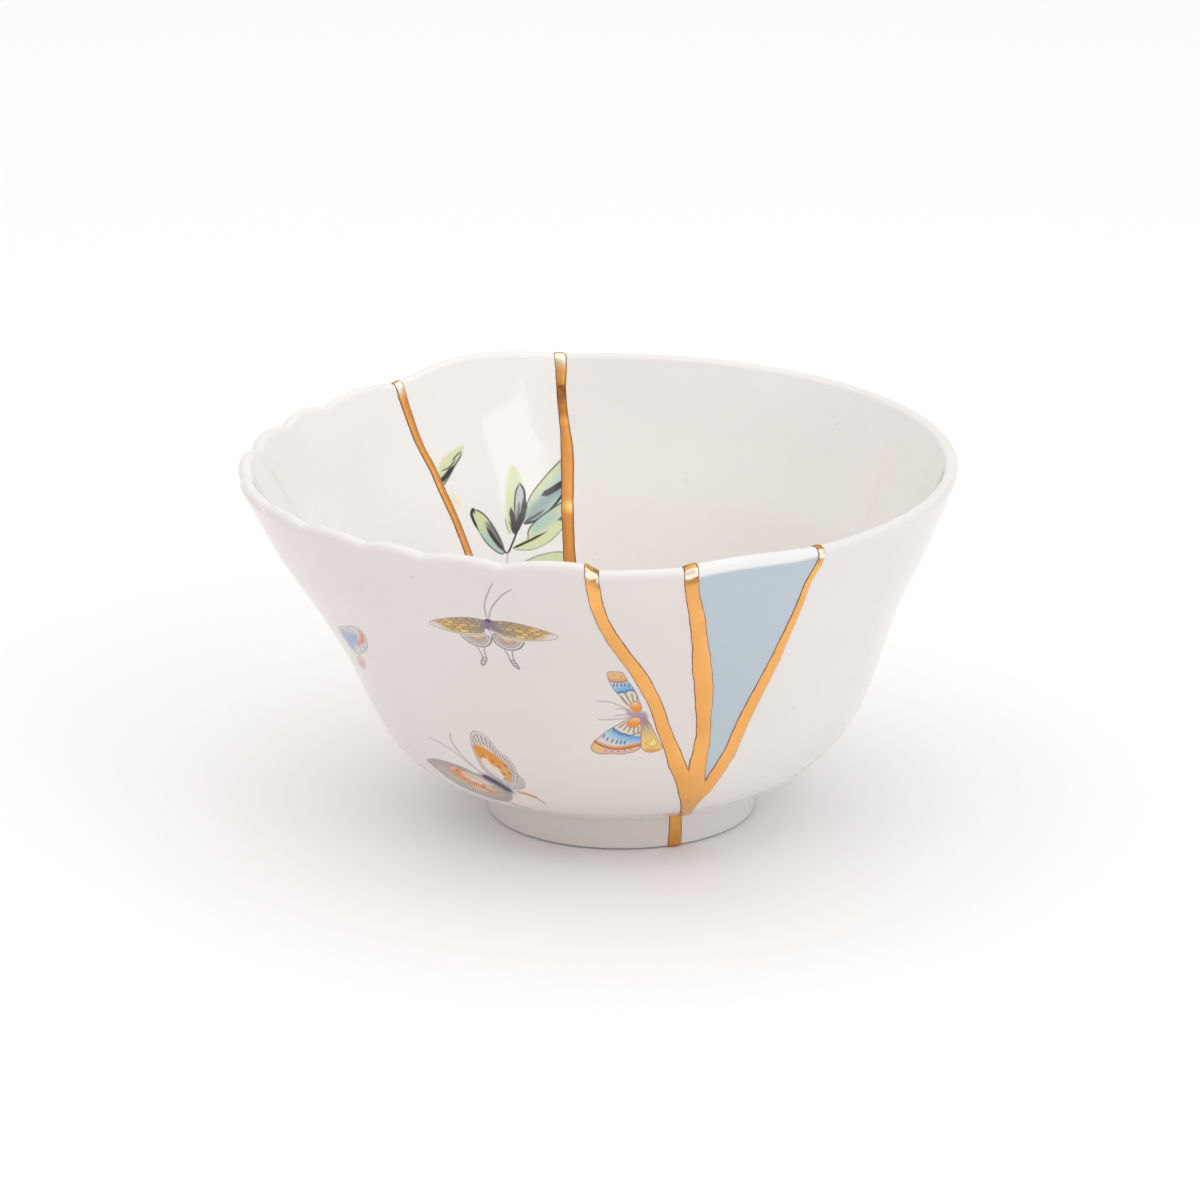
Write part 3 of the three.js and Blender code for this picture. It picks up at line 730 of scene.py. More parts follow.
def blue_butterfly(p):
    """Half a butterfly, cut off by a seam: two banded fore wings, one above and one below,
    an eye spot at each root, and a yellow hind wing."""
    upper = [(-1.5, 2.3), (-2.9, 4.9), (-3.7, 6.4), (-4.4, 8.1), (-4.8, 9.8), (-4.9, 11.4), (-4.4, 12.0),
             (-2.2, 11.8), (-1.7, 11.0), (-1.1, 9.2), (-0.2, 7.3), (0.4, 5.5), (0.8, 3.6), (0.8, 2.0)]
    lower = [(0.5, -1.0), (-1.3, -1.0), (-4.2, -3.0), (-6.1, -4.4), (-7.8, -6.2), (-9.0, -7.7),
             (-9.5, -9.1), (-8.7, -10.1), (-7.2, -10.5), (-5.6, -10.3), (-4.2, -10.5), (-2.6, -10.3),
             (-1.2, -9.9), (0.2, -8.8), (0.4, -6.0), (0.6, -3.0)]
    hind = [(1.3, -0.9), (2.3, -2.4), (3.0, -4.6), (3.7, -6.8), (4.5, -9.1), (3.5, -10.0), (2.1, -10.2),
            (0.9, -9.7), (0.3, -8.4), (0.4, -6.0), (0.8, -3.2)]
    bands = [(2.6, srgb(222, 210, 196)), (5.6, srgb(226, 214, 196)), (6.1, srgb(92, 154, 206)),
             (7.6, srgb(158, 194, 218)), (9.0, srgb(206, 212, 216))]
    stops, shades = np.array([b for b, _ in bands]), np.array([c for _, c in bands])

    def banded(share):
        """Colour by the distance from the root: cream, then sky blue fading to white."""
        def colour(at):
            r = np.hypot(at[:, 0], at[:, 1]) * share
            return np.stack([np.interp(r, stops, shades[:, k]) for k in range(3)], axis=-1)
        return colour

    def fan(share):
        """Thin dark stripes that spread from the root as far as the scalloped line."""
        def pattern(at):
            r, angle = np.hypot(at[:, 0], at[:, 1]) * share, np.arctan2(at[:, 1], at[:, 0])
            stripes = smoothstep(np.sin(31 * angle), -0.1, 0.6)
            return smoothstep(r, 2.2, 3.0) * (1 - smoothstep(r, 5.0, 5.5)) * stripes
        return pattern

    def veins(at):
        """Stripes that spread downwards from the root and fade out."""
        stripes = smoothstep(np.sin(6.0 * at[:, 0] / (0.3 - 0.14 * at[:, 1])), -0.3, 0.8)
        return (1 - smoothstep(-at[:, 1], 2.4, 6.6)) * (0.45 + 0.55 * stripes)

    # Hind wing: yellow, purple and veined towards its root, with an outlined lozenge.
    p.wash(hind, mixed(srgb(214, 186, 130), srgb(232, 194, 112), rising(4, 8, 0, -1)))
    p.wash(hind, srgb(142, 120, 134), 0.8, pattern=veins)
    p.wash(hind, srgb(216, 146, 92), 0.85,
           pattern=lambda at: smoothstep(-at[:, 1] - 0.1 * (at[:, 0] - 2.4) ** 2, 8.9, 9.6))
    p.stroke(hind, 0.22, srgb(176, 128, 96), 0.8, closed=True)
    lozenge = [(1.2, -7.8), (2.2, -7.4), (2.9, -6.5), (3.4, -7.4), (3.5, -8.3), (2.5, -8.7), (1.8, -8.3)]
    p.wash(lozenge, srgb(236, 214, 124), 0.9)
    p.stroke(lozenge, 0.16, srgb(172, 138, 84), 0.8, closed=True)

    # Upper wing, its end a buff block with two dots.
    p.wash(upper, banded(0.93))
    p.wash(upper, UMBER, 0.75, pattern=fan(0.93))
    block = [(-4.9, 9.4), (-4.9, 11.4), (-4.4, 12.0), (-2.2, 11.8), (-1.7, 11.0), (-1.1, 9.2),
             (-2.9, 9.0)]
    p.wash(block, mixed(srgb(222, 152, 92), srgb(222, 182, 128), rising(9.2, 10.4)))
    p.stroke([(-4.7, 9.1), (-2.9, 8.9), (-1.1, 9.1)], 0.3, UMBER, 0.9)
    ticks(p, [(-3.7, 10.9), (-2.3, 10.6)], (0, 0.08), 0.36, RUST, 0.7)
    ticks(p, [(-3.9, 8.1), (-3.2, 8.1), (-2.4, 8.1), (-1.7, 8.05), (-0.9, 7.9)],
          (0.05, 0.38), 0.4, NAVY, 0.7)
    p.stroke([(-3.3, 5.7), (-2.8, 6.1), (-2.2, 6.1), (-1.8, 5.6), (-1.4, 6.3), (-0.7, 6.6), (0.0, 6.2),
              (0.3, 5.4)], 0.3, NAVY, 0.9)
    p.stroke(upper, 0.2, srgb(138, 116, 128), 0.8, closed=True)

    # Lower wing, with ticks, a double line and a dotted outer band.
    p.wash(lower, banded(1.0))
    p.wash(lower, UMBER, 0.75, pattern=fan(1.0))
    outer = [(-8.8, -7.0), (-7.4, -8.0), (-5.6, -8.7), (-3.6, -8.8), (-1.6, -8.4), (0.3, -7.8)]
    rim_band = outer + [(0.2, -8.8), (-1.2, -9.9), (-2.6, -10.3), (-4.2, -10.5), (-5.6, -10.3),
                        (-7.2, -10.5), (-8.7, -10.1), (-9.5, -9.1)]
    p.wash(rim_band, mixed(BUFF, SHELL, rising(-8.5, -6.5, 1, 0)))
    p.stroke(outer, 0.75, AMBER, 0.95)
    p.stroke(moved(outer, 0, -0.4), 0.3, srgb(138, 66, 42), 0.95, thin=(1, 1))
    ticks(p, [(-6.7, -9.6), (-5.4, -9.75), (-4.1, -9.75), (-2.9, -9.6), (-1.7, -9.25)], (0.06, 0), 0.36,
          RUST, 0.7)
    ticks(p, [(-6.9, -5.9), (-6.2, -6.6), (-5.3, -7.1), (-4.4, -7.4), (-3.6, -7.5), (-2.8, -7.5)],
          (0.12, 0.35), 0.4, NAVY, 0.75)
    p.stroke([(-4.9, -3.6), (-4.7, -4.4), (-4.0, -4.8), (-3.5, -5.4), (-2.7, -5.2), (-2.0, -5.7),
              (-1.2, -5.6), (-0.5, -5.2), (0.4, -5.2)], 0.3, NAVY, 0.9)
    p.stroke(lower, 0.24, srgb(158, 116, 96), 0.85, closed=True)

    # Body, eye spots and feelers.
    p.wash([(-1.9, 1.5), (-0.4, 0.5), (1.7, 0.5), (2.1, -1.2), (1.7, -3.0), (0.5, -2.0), (-1.6, -0.4)],
           srgb(146, 124, 144), 0.8, soft=0.5)
    for centre, size, turn in (((0.0, 1.9), (1.2, 1.6), 14), ((-0.7, -2.2), (1.72, 1.2), 46)):
        lit_from_above = rising(centre[1] - 0.6, centre[1] + 1.3)
        p.oval(centre, size, turn, RUST, 0.75)
        p.oval(centre, [r - 0.16 for r in size], turn,
               mixed(srgb(228, 142, 44), srgb(240, 184, 132), lit_from_above))
    feelers = [
        [(-1.5, 1.3), (-3.4, 2.5), (-5.3, 3.4), (-7.7, 3.6)],
        [(-1.5, 1.1), (-2.8, 1.5), (-4.0, 1.5)],
        [(-1.4, 0.0), (-3.0, -0.2), (-4.7, -0.4)],
        [(-1.4, -0.6), (-3.2, -1.2), (-5.2, -1.4), (-7.8, -1.5)],
    ]
    for line in feelers:
        p.stroke(line, 0.3, srgb(158, 140, 148), 0.75)


def orange_butterfly(p):
    """Seen from the side, flying down to the right: a wing up and a wing down, each with a
    finely striped border and an orange band, a dark purple body and two thin tails."""
    upper = [(-3.8, 9.0), (-3.7, 11.2), (-3.1, 13.2), (-1.9, 14.1), (-0.4, 13.8), (0.9, 12.6),
             (1.8, 10.6), (2.6, 9.6), (3.8, 8.8), (4.7, 7.0), (4.9, 4.8), (4.5, 2.4), (3.7, 0.6),
             (2.6, -0.8), (1.0, 0.4), (-1.4, 2.2), (-2.8, 3.8), (-3.5, 6.4)]
    flame = [(-3.6, 9.8), (-2.2, 10.5), (-0.3, 9.8), (1.4, 8.3), (2.8, 6.8), (3.6, 4.8), (3.5, 2.6),
             (2.7, 1.2), (2.0, 2.2), (1.3, 3.6), (0.4, 4.8), (-0.6, 5.9), (-1.8, 6.6), (-3.0, 7.0)]
    lobe = [(4.6, 4.6), (5.6, 3.4), (6.0, 1.6), (5.2, -0.1), (3.2, -1.1), (2.7, 0.2), (3.8, 2.2)]
    lower = [(-2.8, 1.0), (-5.4, 1.8), (-8.5, 2.7), (-12.3, 2.9), (-16.5, 2.3), (-19.4, 0.7),
             (-17.8, -1.0), (-15.2, -3.2), (-12.4, -5.3), (-8.7, -6.8), (-5.3, -7.7), (-2.1, -7.8),
             (0.3, -6.3), (1.6, -3.8), (1.2, -1.9)]
    streak = [(-12.6, 0.4), (-11.2, 2.0), (-9.0, 1.9), (-7.0, 0.6), (-4.8, -0.8), (-2.2, -2.2),
              (-1.4, -3.4), (-3.0, -4.6), (-5.6, -4.4), (-8.4, -3.2), (-11.0, -1.4)]

    def striped(root, outline, count, start, end=0.95):
        """Fine dark stripes that point to the root, in the outer part of a lobe."""
        line = curve(outline, True)

        def pattern(at):
            u, angle = about(at, root, line)
            stripes = 0.15 + 0.85 * smoothstep(np.cos(count * angle), -0.3, 0.5)
            return smoothstep(u, start, start + 0.08) * (1 - smoothstep(u, end - 0.03, end)) * stripes
        return pattern

    def dabs(low, high, shift=0.0):
        """Uneven little patches, as of a brush dabbed on, more of them the lower the range."""
        def pattern(at):
            cell = np.floor((at + shift) / 0.8 + 0.35 * np.sin(2.1 * (at + shift)[:, ::-1]))
            return smoothstep(speckle(cell[:, 0], cell[:, 1]), low, high)
        return pattern

    def stripe(fall, height, half):
        """1 along a line that starts at a height and falls to the right, 0 beyond its half width."""
        return lambda at: np.exp(-((at[:, 1] + fall * at[:, 0] - height) / half) ** 4)

    def outer_part(at):
        """Cover that grows from the middle of the lower wing to its edge."""
        return smoothstep(about(at, (-5.4, -1.6), curve(lower, True))[0], 0.4, 0.9)

    def orange_dabs(at):
        """Cover of the lower wing's orange: a solid end and a broken line."""
        line = stripe(0.36, -4.7, 1.0)(at) * dabs(0.1, 0.4)(at)
        return np.maximum(patch((-10.4, 0.3), (2.1, 1.8), 4)(at), line)

    # Lower wing: a pale ground, hatched towards its edge, with a dabbed orange band.
    p.wash(lower, srgb(208, 196, 186), 0.85, soft=0.25)
    p.wash(lower, srgb(176, 162, 150), 0.6, soft=0.4, pattern=outer_part)
    p.wash(lower, srgb(112, 98, 94), 0.7, soft=0.3, pattern=striped((-5.4, 0.6), lower, 64, 0.4, 1.0))
    p.wash(lower, srgb(196, 186, 150), 0.4, soft=0.4, pattern=patch((-12, -2.6), (3.4, 1.5)))
    p.wash(lower, srgb(206, 178, 178), 0.45, soft=0.4, pattern=patch((-15.5, -0.2), (2.2, 1.4)))
    p.wash(streak, mixed(srgb(224, 196, 172), srgb(206, 186, 156), rising(-6, -2, 1, 0)), 0.95, soft=0.3)
    p.wash(streak, srgb(228, 130, 56), 0.95, soft=0.3, pattern=orange_dabs)
    p.wash(streak, srgb(238, 206, 188), 0.8, soft=0.2,
           pattern=lambda at: stripe(0.4, -2.9, 0.8)(at) * dabs(0.55, 0.8)(at))
    p.wash(streak, srgb(182, 96, 66), 0.55, soft=0.2, pattern=dabs(0.74, 0.92, 3.3))
    p.wash(streak, srgb(158, 132, 128), 0.6, soft=0.2, pattern=dabs(0.78, 0.95, -5.1))
    p.stroke(streak, 0.22, srgb(148, 104, 84), 0.6, closed=True, soft=0.12)
    p.stroke(lower, 0.26, srgb(150, 138, 136), 0.75, closed=True, soft=0.12)

    # Small lobe behind the upper wing, then the upper wing.
    p.wash(lobe, srgb(216, 208, 204), 0.8)
    p.wash(lobe, SLATE, 0.6, pattern=striped((3.2, 0.6), lobe, 26, 0.3))
    p.stroke(lobe, 0.24, srgb(148, 136, 138), 0.75, closed=True)
    p.wash(upper, srgb(224, 215, 208), 0.85)
    p.wash(upper, srgb(140, 124, 128), 0.8, pattern=striped((-0.4, 4.4), upper, 58, 0.6))
    p.wash(flame, mixed(srgb(222, 142, 44), srgb(216, 158, 84), rising(-7, -4, 0, -1)), soft=0.14)
    p.wash(flame, srgb(232, 178, 110), 0.6, soft=0.2, pattern=dabs(0.62, 0.9))
    p.oval((-1.6, 6.4), (0.85, 0.95), -30, srgb(240, 208, 188), 0.95, soft=0.25)
    p.oval((0.5, 4.6), (0.9, 0.6), -50, srgb(228, 210, 190), 0.9, soft=0.25)
    for x, y in [(-1.6, 7.7), (0.1, 6.8), (1.2, 5.4), (1.9, 3.6), (1.8, 1.9), (2.9, 6.0), (3.3, 4.0)]:
        p.oval((x, y), (0.5, 0.34), -40, srgb(150, 98, 84), 0.75, soft=0.18)
    for x, y in [(-2.6, 5.0), (-1.2, 4.4), (0.4, 3.2), (1.4, 1.8)]:
        p.stroke([(0.6, -0.1), (x * 0.6, y * 0.7), (x, y)], 0.16, srgb(168, 156, 150), 0.6)
    p.stroke(upper, 0.22, srgb(134, 120, 126), 0.8, closed=True)
    p.stroke([(-3.3, 10.4), (-3.0, 12.4), (-1.9, 13.4), (-0.6, 13.0), (0.5, 11.8), (1.5, 9.9), (2.9, 8.7),
              (4.0, 7.2), (4.3, 4.8), (3.9, 2.4)], 0.14, SLATE, 0.6)

    # Body, tails and feelers, each as its points, width, colour, strength, ends and softness.
    lines = [
        ([(-3.8, 1.9), (-2.0, 1.0), (-0.4, 0.0), (1.0, -1.3), (2.4, -2.4)],
         2.4, srgb(134, 116, 142), 0.6, (0.5, 0.5), 0.6),
        ([(-3.2, 1.5), (-1.8, 0.9), (-0.3, -0.1), (1.0, -1.2), (2.1, -2.2)],
         1.5, srgb(56, 40, 84), 0.95, (0.7, 0.35), 0.28),
        ([(3.4, -1.7), (4.4, -1.9), (5.6, -2.1), (7.0, -2.9)],
         0.85, srgb(222, 142, 88), 0.95, (0.4, 1), 0.15),
        ([(3.6, -2.1), (5.2, -2.4), (6.8, -3.2)], 0.22, srgb(176, 112, 84), 0.7, (0.5, 0.5), SOFT),
        ([(7.0, -2.9), (7.8, -4.2), (8.4, -5.6)], 0.5, srgb(146, 134, 132), 0.8, (0.9, 0.4), 0.15),
        ([(-0.7, -7.4), (0.4, -8.5), (2.0, -9.2), (3.6, -9.8)],
         0.65, srgb(204, 138, 112), 0.9, (1, 0.3), 0.18),
        ([(-15.8, 8.8), (-12.4, 8.3), (-9.0, 6.8), (-6.2, 4.6), (-3.2, 1.9)],
         0.34, srgb(168, 156, 156), 0.8, (0.5, 0.5), 0.14),
        ([(-8.5, 12.2), (-9.0, 10.4), (-8.3, 8.2), (-6.6, 5.5), (-3.6, 2.4)],
         0.36, srgb(160, 148, 150), 0.8, (0.5, 0.5), 0.14),
    ]
    for points, width, colour, strength, thin, soft in lines:
        p.stroke(points, width, colour, strength, thin, soft=soft)


def small_butterfly(p):
    """A small one at the side of the bowl: a blue and orange wing in a pale border, and a
    rosy lower wing."""
    wing = [(-7.2, 0.2), (-3.8, 2.2), (0.0, 3.6), (3.4, 4.9), (5.6, 5.0), (6.2, 3.6), (4.6, 0.8),
            (2.0, -1.8), (-1.4, -3.8), (-5.0, -5.2), (-7.0, -4.6)]
    lower = [(-8.2, -8.6), (-6.4, -6.8), (-4.0, -5.4), (-2.4, -5.6), (-3.4, -7.4), (-5.4, -9.2),
             (-7.6, -9.9)]
    p.wash(lower, srgb(206, 176, 178), 0.8, soft=0.3)
    p.stroke([(-8.0, -9.0), (-6.2, -8.3), (-4.4, -7.0)], 1.0, srgb(214, 138, 142), 0.85, soft=0.35)
    p.stroke(lower, 0.24, srgb(160, 150, 152), 0.6, closed=True, soft=0.12)
    p.wash(wing, srgb(204, 197, 198), 0.85)
    heart = [(-6.8, -0.6), (-3.6, 1.2), (0.1, 2.2), (2.4, 2.8), (1.8, 1.4), (0.2, -0.2), (-2.4, -1.6),
             (-4.4, -3.8), (-6.2, -4.2)]
    p.wash(heart, mixed(srgb(128, 142, 184), srgb(118, 158, 202), rising(-1, 2)), 0.9, soft=0.5)
    p.stroke([(-1.6, -1.8), (0.2, -0.8), (1.6, 0.3)], 1.3, srgb(170, 138, 172), 0.85, soft=0.4)
    p.stroke([(1.2, -0.3), (3.2, 1.2), (4.6, 3.0), (5.0, 4.2)], 1.25, srgb(226, 130, 84), 0.95,
             thin=(0.4, 0.6), soft=0.3)
    p.stroke([(2.0, 0.2), (4.0, 1.8), (4.9, 3.4)], 0.3, srgb(150, 84, 60), 0.7)
    p.oval((-2.8, 1.7), (1.2, 0.45), 22, STRAW, 0.6, soft=0.3)
    p.oval((0.8, 2.3), (0.9, 0.4), 20, srgb(148, 196, 212), 0.8, soft=0.25)
    p.oval((-3.6, -3.3), (1.1, 0.6), 20, srgb(146, 178, 204), 0.8, soft=0.35)
    ticks(p, [(-5.4, 0.6), (-3.8, 1.5), (-0.2, 3.1), (-4.9, -4.7), (-1.0, -2.9), (1.6, -1.3)],
          (0.4, 0.16), 0.4, srgb(112, 108, 122), 0.6)
    p.stroke(wing, 0.3, srgb(150, 146, 150), 0.75, closed=True, soft=0.12)
    p.stroke([(-6.2, 0.0), (-2.6, 1.9), (1.4, 3.2), (4.4, 4.3), (5.4, 3.8), (4.2, 1.4), (2.0, -0.9)],
             0.18, SLATE, 0.5)


FRESH = srgb(206, 216, 164)
SAGE = srgb(170, 200, 184)
CHARCOAL = srgb(42, 32, 36)


def ink(p, points, width, strength=1.0, thin=(0.3, 0.2), soft=0.07):
    """A loose dark line, a little wider than its nominal width where the brush spreads."""
    p.stroke(points, 1.18 * width, CHARCOAL, strength, thin=thin, soft=soft)


def leaf_sprig(p):
    """An upright sprig of pointed leaves washed in green and grey under loose ink lines, and
    one more leaf apart from it."""
    pale = [(1.6, 3.8), (1.9, 7.6), (3.0, 11.6), (4.4, 15.0), (6.4, 17.8), (7.5, 15.6), (7.0, 12.0),
            (5.0, 8.0)]
    p.wash(pale, mixed(FRESH, srgb(220, 228, 190), rising(7, 16)), 1.0, soft=0.6)
    ink(p, [(1.5, 3.9), (1.3, 5.6), (1.6, 7.4)], 0.22, 0.6)
    ink(p, [(2.6, 4.4), (2.2, 5.4), (2.0, 6.6)], 0.2, 0.6)

    dark = [(2.8, 4.4), (3.5, 7.2), (4.3, 9.8), (5.5, 12.4), (6.9, 14.0), (7.3, 12.0), (6.6, 9.2),
            (5.2, 6.8), (3.9, 5.2)]
    p.wash(dark, mixed(srgb(120, 112, 124), srgb(188, 194, 198), rising(6, 10.5)), 0.95,
           soft=0.15)
    ink(p, [(2.4, 3.9), (3.0, 6.2), (3.4, 9.2)], 1.0, thin=(0.4, 0.1), soft=0.12)
    ink(p, [(3.9, 8.0), (4.6, 10.2), (5.6, 12.4), (6.9, 13.9)], 0.26)
    ink(p, [(6.9, 13.9), (7.3, 12.4), (7.0, 10.8), (6.4, 9.2)], 0.42)
    ink(p, [(6.9, 10.8), (6.2, 8.4), (4.9, 6.6), (3.6, 5.2), (2.7, 3.8)], 1.15, thin=(0.3, 0.3),
        soft=0.14)
    ink(p, [(4.2, 6.6), (5.0, 8.6), (5.6, 10.2)], 0.4, 0.7, thin=(0.6, 0.1), soft=0.2)

    large = [(5.5, 5.5), (7.0, 8.9), (9.0, 11.6), (11.6, 13.9), (14.0, 15.9), (17.2, 18.4), (17.6, 14.6),
             (16.0, 11.8), (13.4, 9.2), (10.6, 7.3), (8.0, 6.1)]
    p.wash(large, mixed(srgb(174, 204, 200), srgb(208, 218, 176), rising(2.2, 5.0, -0.72)), 0.95,
           soft=0.2)
    p.wash([(6.0, 6.2), (9.6, 7.4), (13.0, 9.8), (16.4, 12.6), (13.0, 12.0), (9.6, 10.2), (7.2, 8.4)],
           srgb(112, 116, 124), 0.5, soft=0.9)
    ink(p, [(6.4, 8.6), (8.6, 11.3), (11.4, 13.8), (14.0, 15.9), (16.8, 18.0)], 0.22, 0.85,
        thin=(0.8, 0.8))
    ink(p, [(5.5, 5.5), (8.0, 6.0), (10.6, 7.2), (13.2, 9.1), (16.0, 11.7)], 0.42, thin=(0.7, 1))
    ink(p, [(5.4, 5.6), (6.6, 6.3), (8.4, 7.0), (10.6, 8.1)], 0.5, 0.8, thin=(1, 0.1), soft=0.15)
    ink(p, [(10.6, 10.9), (13.2, 11.9), (17.0, 13.8)], 1.0, thin=(0.1, 1), soft=0.12)

    near = [(1.4, 0.9), (3.4, 1.9), (5.3, 2.9), (6.2, 4.6), (8.8, 6.4), (12.0, 8.1), (16.0, 10.1),
            (15.4, 6.8), (12.6, 3.8), (9.4, 1.5), (5.4, 0.3), (2.4, 0.3)]

    def grey_part(at):
        """Share of grey in the middle of this leaf, above its rib."""
        return (rising(-0.8, 1.4, -0.42)(at) * smoothstep(at[:, 0], 4.5, 8)
                * (1 - smoothstep(at[:, 0], 11, 15)))

    p.wash(near, mixed(srgb(216, 222, 172), SAGE, grey_part), 0.95, soft=0.2)
    ink(p, [(1.2, 0.8), (3.4, 1.4), (6.0, 2.2), (9.8, 3.6)], 0.42, thin=(0.4, 0.1))
    ink(p, [(5.0, 2.2), (5.9, 4.3), (8.7, 6.4), (12.0, 8.1), (16.0, 10.0)], 0.26, 0.85, thin=(0.5, 0.8))
    ink(p, [(12.4, 5.6), (14.0, 6.3), (15.4, 7.4)], 0.5, 0.8, thin=(0.1, 1))
    ink(p, [(1.8, 0.4), (5.4, 0.1), (9.2, 1.3), (12.6, 3.6), (15.4, 6.4)], 0.2, 0.6, thin=(0.8, 0.8))

    p.wash([(2.6, -2.4), (6.4, -1.4), (11.0, -1.0), (15.6, -2.2), (12.0, -4.6), (7.0, -4.4)], FRESH, 0.9,
           soft=0.2)
    ink(p, [(2.8, -2.3), (6.4, -1.3), (11.0, -0.9), (15.6, -2.2)], 0.22, 0.65)
    ink(p, [(2.8, -2.5), (7.0, -4.4), (12.0, -4.6), (15.6, -2.3)], 0.22, 0.55)

    left = [(-0.7, 0.2), (-1.0, 2.8), (-1.6, 5.4), (-2.5, 7.9), (-3.7, 9.4), (-5.0, 9.8), (-5.7, 8.4),
            (-5.4, 5.6), (-4.2, 2.6), (-2.8, 0.7), (-1.6, 0.0)]
    p.wash(left, mixed(SAGE, FRESH, rising(3, 7)), 0.95, soft=0.2)
    p.wash([(-1.0, 0.8), (-1.0, 3.2), (-1.8, 6.0), (-3.1, 6.8), (-3.0, 4.4), (-2.2, 2.0)],
           srgb(98, 84, 96), 0.85, soft=0.6)
    ink(p, [(-0.9, 0.6), (-2.2, 3.0), (-3.2, 5.8)], 0.7, thin=(0.3, 0.2), soft=0.16)
    ink(p, [(-5.0, 8.9), (-5.0, 9.8), (-5.7, 8.9), (-5.6, 7.2), (-5.2, 5.4)], 0.6, thin=(0.2, 0.2),
        soft=0.12)
    ink(p, [(-5.4, 5.6), (-4.2, 2.6), (-2.8, 0.8), (-1.6, 0.0), (-0.8, 0.2)], 0.28, 0.85)
    ink(p, [(-4.8, 9.8), (-3.7, 9.2), (-2.5, 7.8), (-1.6, 5.4), (-1.0, 2.8), (-0.7, 0.6)], 0.32, 0.9)

    ink(p, [(-0.9, 0.4), (-0.1, 0.1), (1.4, 1.8), (2.8, 3.6), (4.2, 5.4)], 0.34, thin=(1, 0.6))
    p.stroke([(-0.1, 0.1), (-0.7, -1.2), (-1.2, -3.4), (-1.0, -7.0)], 0.4, srgb(178, 184, 176), 0.7)

    # The leaf apart from the sprig, and a yellow bloom below it.
    apart = [(-10.8, 15.4), (-10.6, 18.0), (-9.4, 20.4), (-7.2, 22.0), (-4.6, 23.0), (-2.9, 23.4),
             (-3.9, 21.4), (-5.8, 19.4), (-8.0, 17.2)]
    p.wash(apart, mixed(srgb(188, 206, 176), srgb(218, 222, 172), rising(23, 26, -0.7)),
           0.9, soft=0.45)
    ink(p, [(-10.9, 15.2), (-8.6, 17.0), (-6.4, 19.2), (-4.6, 20.8), (-3.6, 22.2)], 0.3, 0.85)
    ink(p, [(-10.9, 16.4), (-9.0, 17.5), (-6.0, 19.6)], 0.8, thin=(0.9, 0.1), soft=0.14)
    ink(p, [(-9.6, 18.8), (-7.6, 19.2), (-5.4, 20.7)], 0.3, 0.85)
    ink(p, [(-6.4, 20.5), (-5.2, 21.4), (-3.8, 22.2)], 0.3, 0.8)
    p.oval((-8.5, 12.2), (0.9, 1.7), 10, srgb(238, 228, 186), 0.7, soft=0.7)


# Each motif: shard, whether it is on the inner face, its origin, its box and its drawing.
MOTIFS = [
    ("scalloped", False, (-18.7, 61.6), (-14, -15, 14, 11), olive_butterfly),
    ("scalloped", False, (4.9, 39.3), (-10, -11.5, 6, 13), blue_butterfly),
    ("scalloped", False, (-29.4, 19.2), (-20.5, -10.5, 9.5, 15), orange_butterfly),
    ("scalloped", False, (-56.1, 46.8), (-9, -10.5, 7, 5.5), small_butterfly),
    ("leaf", True, (204.5, 37.0), (-13, -11, 20, 25), leaf_sprig),
]


def in_box(at, box, margin=0.0):
    """Whether places lie in a box, given as left, low, right and high, or in a margin round it."""
    return (at > np.array(box[:2]) - margin).all(-1) & (at < np.array(box[2:]) + margin).all(-1)


def paint_at(shard, t, bearing, lev):
    """The shard's painting at places on its faces."""
    paint = np.zeros((len(t), 4))
    for owner, inner, origin, box, draw in MOTIFS:
        if owner == shard:
            at = on_wall(bearing, lev, origin, inner)
            on_face = ((t > 3.5) == inner) & (lev > WALL_FOOT + 0.1)
            where = np.nonzero(in_box(at, box) & on_face)[0]
            painting = Painting(at[where])
            draw(painting)
            paint[where] = painting.paint
    return paint


def painted_cells(shard, t, bearing):
    """Which cells of a shard hold paint, the lattice points tried for it, and their paint."""
    middle_t, middle = (v[FINE // 2::FINE, FINE // 2::FINE] for v in (t, bearing))
    middle_level = level(middle_t, *rim(shard, middle))
    near = np.zeros(middle.shape, bool)
    for owner, inner, origin, box, _ in MOTIFS:
        if owner == shard:
            at = on_wall(middle, middle_level, origin, inner)
            near |= in_box(at, box, CELL) & ((middle_t > 3.5) == inner)
    near[:, [0, -1]] = False
    near[[0, -1]] = False
    tried = np.unique(cells(near)[0][0])
    tried_t, tried_bearing = t.ravel()[tried], bearing.ravel()[tried]
    paint = paint_at(shard, tried_t, tried_bearing, level(tried_t, *rim(shard, tried_bearing)))
    cover = np.zeros(t.size, np.float32)
    cover[tried] = paint[:, 3]
    cover = cover.reshape(t.shape)
    blocks = np.maximum(cover[:-1, :-1], cover[1:, 1:])
    most = blocks.reshape(near.shape[0], FINE, near.shape[1], FINE).max((1, 3))
    return near & (most > LEAST_COVER), tried, paint


